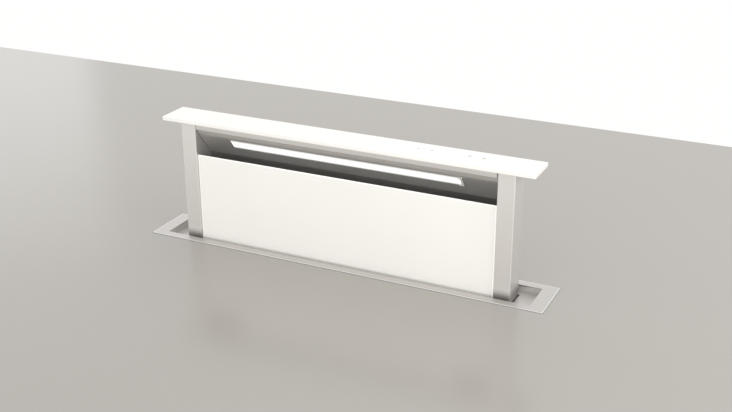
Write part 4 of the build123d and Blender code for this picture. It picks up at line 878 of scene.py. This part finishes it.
def collar_screws():
    """Screws round the flange of the outlet collar."""
    low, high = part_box("outlet_collar")
    x = low.x + COLLAR_FLANGE
    y = (low.y + high.y) / 2
    z = (low.z + high.z) / 2
    radius = (high.y - low.y) / 2 - COLLAR_SCREW_INSET
    angles = [360 * (i + 0.5) / COLLAR_SCREWS for i in range(COLLAR_SCREWS)]
    spots = [((x, *around(y, z, radius, angle)), (1, 0, 0)) for angle in angles]
    fasteners("collar_screws", spots, hex_screw, COLLAR_SCREW)


def lid_screws():
    """Four screws in the corners of the control box's lid."""
    low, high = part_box("control_lid")
    x_ends = (low.x + LID_SCREW_INSET, high.x - LID_SCREW_INSET)
    z_ends = (low.z + LID_SCREW_INSET, high.z - LID_SCREW_INSET)
    spots = [((x, low.y, z), (0, -1, 0)) for x in x_ends for z in z_ends]
    fasteners("lid_screws", spots, hex_screw, LID_SCREW)


def housing_rivets():
    """Rows of rivets where the housing's walls lap: at both ends and along their foot."""
    blower_low, blower_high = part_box("blower_box")
    spots = []
    for node, face in (("housing_front_wall", -1), ("housing_back_wall", 1)):
        low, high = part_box(node)
        y = low.y if face < 0 else high.y
        rows = round((high.z - low.z) / RIVET_PITCH)
        for z in between(low.z + RIVET_FROM_FOOT, high.z - RIVET_FROM_FOOT, rows):
            for x in (low.x + RIVET_FROM_EDGE, high.x - RIVET_FROM_EDGE):
                spots.append(((x, y, z), (0, face, 0)))
        columns = round((high.x - low.x) / RIVET_PITCH)
        for x in between(low.x + RIVET_FROM_SIDE, high.x - RIVET_FROM_SIDE, columns):
            behind_blower = face < 0 and blower_low.x < x < blower_high.x
            if not behind_blower:
                spots.append(((x, y, low.z + RIVET_FROM_EDGE), (0, face, 0)))
    fasteners("housing_rivets", spots, rivet, RIVET)


def bracket_bolts():
    """Two bolts in the slots of each floor bracket."""
    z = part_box("floor_brackets")[1].z - BRACKET_BOLT_DROP
    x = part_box("housing_right_wall")[1].x + BRACKET_SHEET
    spots = []
    for side in (-1, 1):
        for y in (-BRACKET_BOLT_Y, BRACKET_BOLT_Y):
            spots.append(((side * x, y, z), (side, 0, 0)))
    fasteners("bracket_bolts", spots, hex_screw, BRACKET_BOLT)


# ---- stage ----
def worktop():
    """A worktop with the vent's cut-out in it."""
    outer = rectangle(WORKTOP_LEFT, WORKTOP_RIGHT, WORKTOP_FRONT, WORKTOP_BACK)
    half, side = CUTOUT_LENGTH / 2, CUTOUT_WIDTH / 2
    inner = rectangle(-half, half, -side, side)
    under = -WORKTOP_THICKNESS
    made = bmesh.new()
    rings = [ring(made, outer, 0), ring(made, inner, 0),
             ring(made, inner, under), ring(made, outer, under)]
    closed_bands(made, rings)
    stage_piece(plain_mesh(made, "worktop"), "worktop")


def floor():
    made = bmesh.new()
    outline = rectangle(-FLOOR_HALF, FLOOR_HALF, -FLOOR_HALF, FLOOR_HALF)
    made.faces.new(ring(made, outline, cad_low.z))
    stage_piece(plain_mesh(made, "floor"), "floor")


# ---- light and camera ----
def area_lamp(name, spot, target, size, power, mirrored):
    """A soft lamp; where it isn't mirrored, metal and glass show the backdrop in its place."""
    data = bpy.data.lights.new(name, "AREA")
    data.shape = "RECTANGLE"
    data.size, data.size_y = size
    data.energy = power
    lamp = new_object(name, data)
    aim = Vector(target) - Vector(spot)
    lamp.location = spot
    lamp.rotation_euler = aim.to_track_quat("-Z", "Y").to_euler()
    lamp.visible_glossy = mirrored


def world():
    """Soft light all round; the camera and the reflections see plain white."""
    made = bpy.data.worlds.new("studio")
    bpy.context.scene.world = made
    made.use_nodes = True
    tree = made.node_tree
    light = tree.nodes["Background"]
    light.inputs["Color"].default_value = WORLD_COLOR
    light.inputs["Strength"].default_value = WORLD_LIGHT
    white = add(tree, "ShaderNodeBackground")
    white.inputs["Color"].default_value = SEEN_WHITE
    white.inputs["Strength"].default_value = 1.0
    rays = add(tree, "ShaderNodeLightPath").outputs
    mirrored = combined(tree, "MAXIMUM", rays["Is Glossy Ray"], rays["Is Transmission Ray"])
    seen = combined(tree, "MAXIMUM", rays["Is Camera Ray"], mirrored)
    both = add(tree, "ShaderNodeMixShader")
    tree.links.new(seen, both.inputs["Fac"])
    tree.links.new(light.outputs[0], both.inputs[1])
    tree.links.new(white.outputs[0], both.inputs[2])
    tree.links.new(both.outputs[0], tree.nodes["World Output"].inputs["Surface"])


def camera():
    data = bpy.data.cameras.new("camera")
    data.sensor_fit = "HORIZONTAL"
    data.sensor_width = SENSOR_WIDTH
    data.lens = FOCAL_LENGTH
    data.clip_end = CLIP_END
    made = new_object("camera", data)
    aim = Matrix.Rotation(CAMERA_PAN, 4, "Z") @ Matrix.Rotation(pi / 2 - CAMERA_DOWN, 4, "X")
    aim = aim @ Matrix.Rotation(CAMERA_ROLL, 4, "Z")
    made.matrix_world = Matrix.Translation(CAMERA_PLACE) @ aim
    bpy.context.scene.camera = made


finish_nodes()
touch_marks()
lens_shadow_gasket()
light_end_rim()
glass_backing_shade()
flange_seal()
cover_screws()
collar_screws()
lid_screws()
housing_rivets()
bracket_bolts()
worktop()
floor()
world()
for lamp in LAMPS:
    area_lamp(*lamp)
camera()
bpy.context.scene.view_settings.view_transform = "Standard"
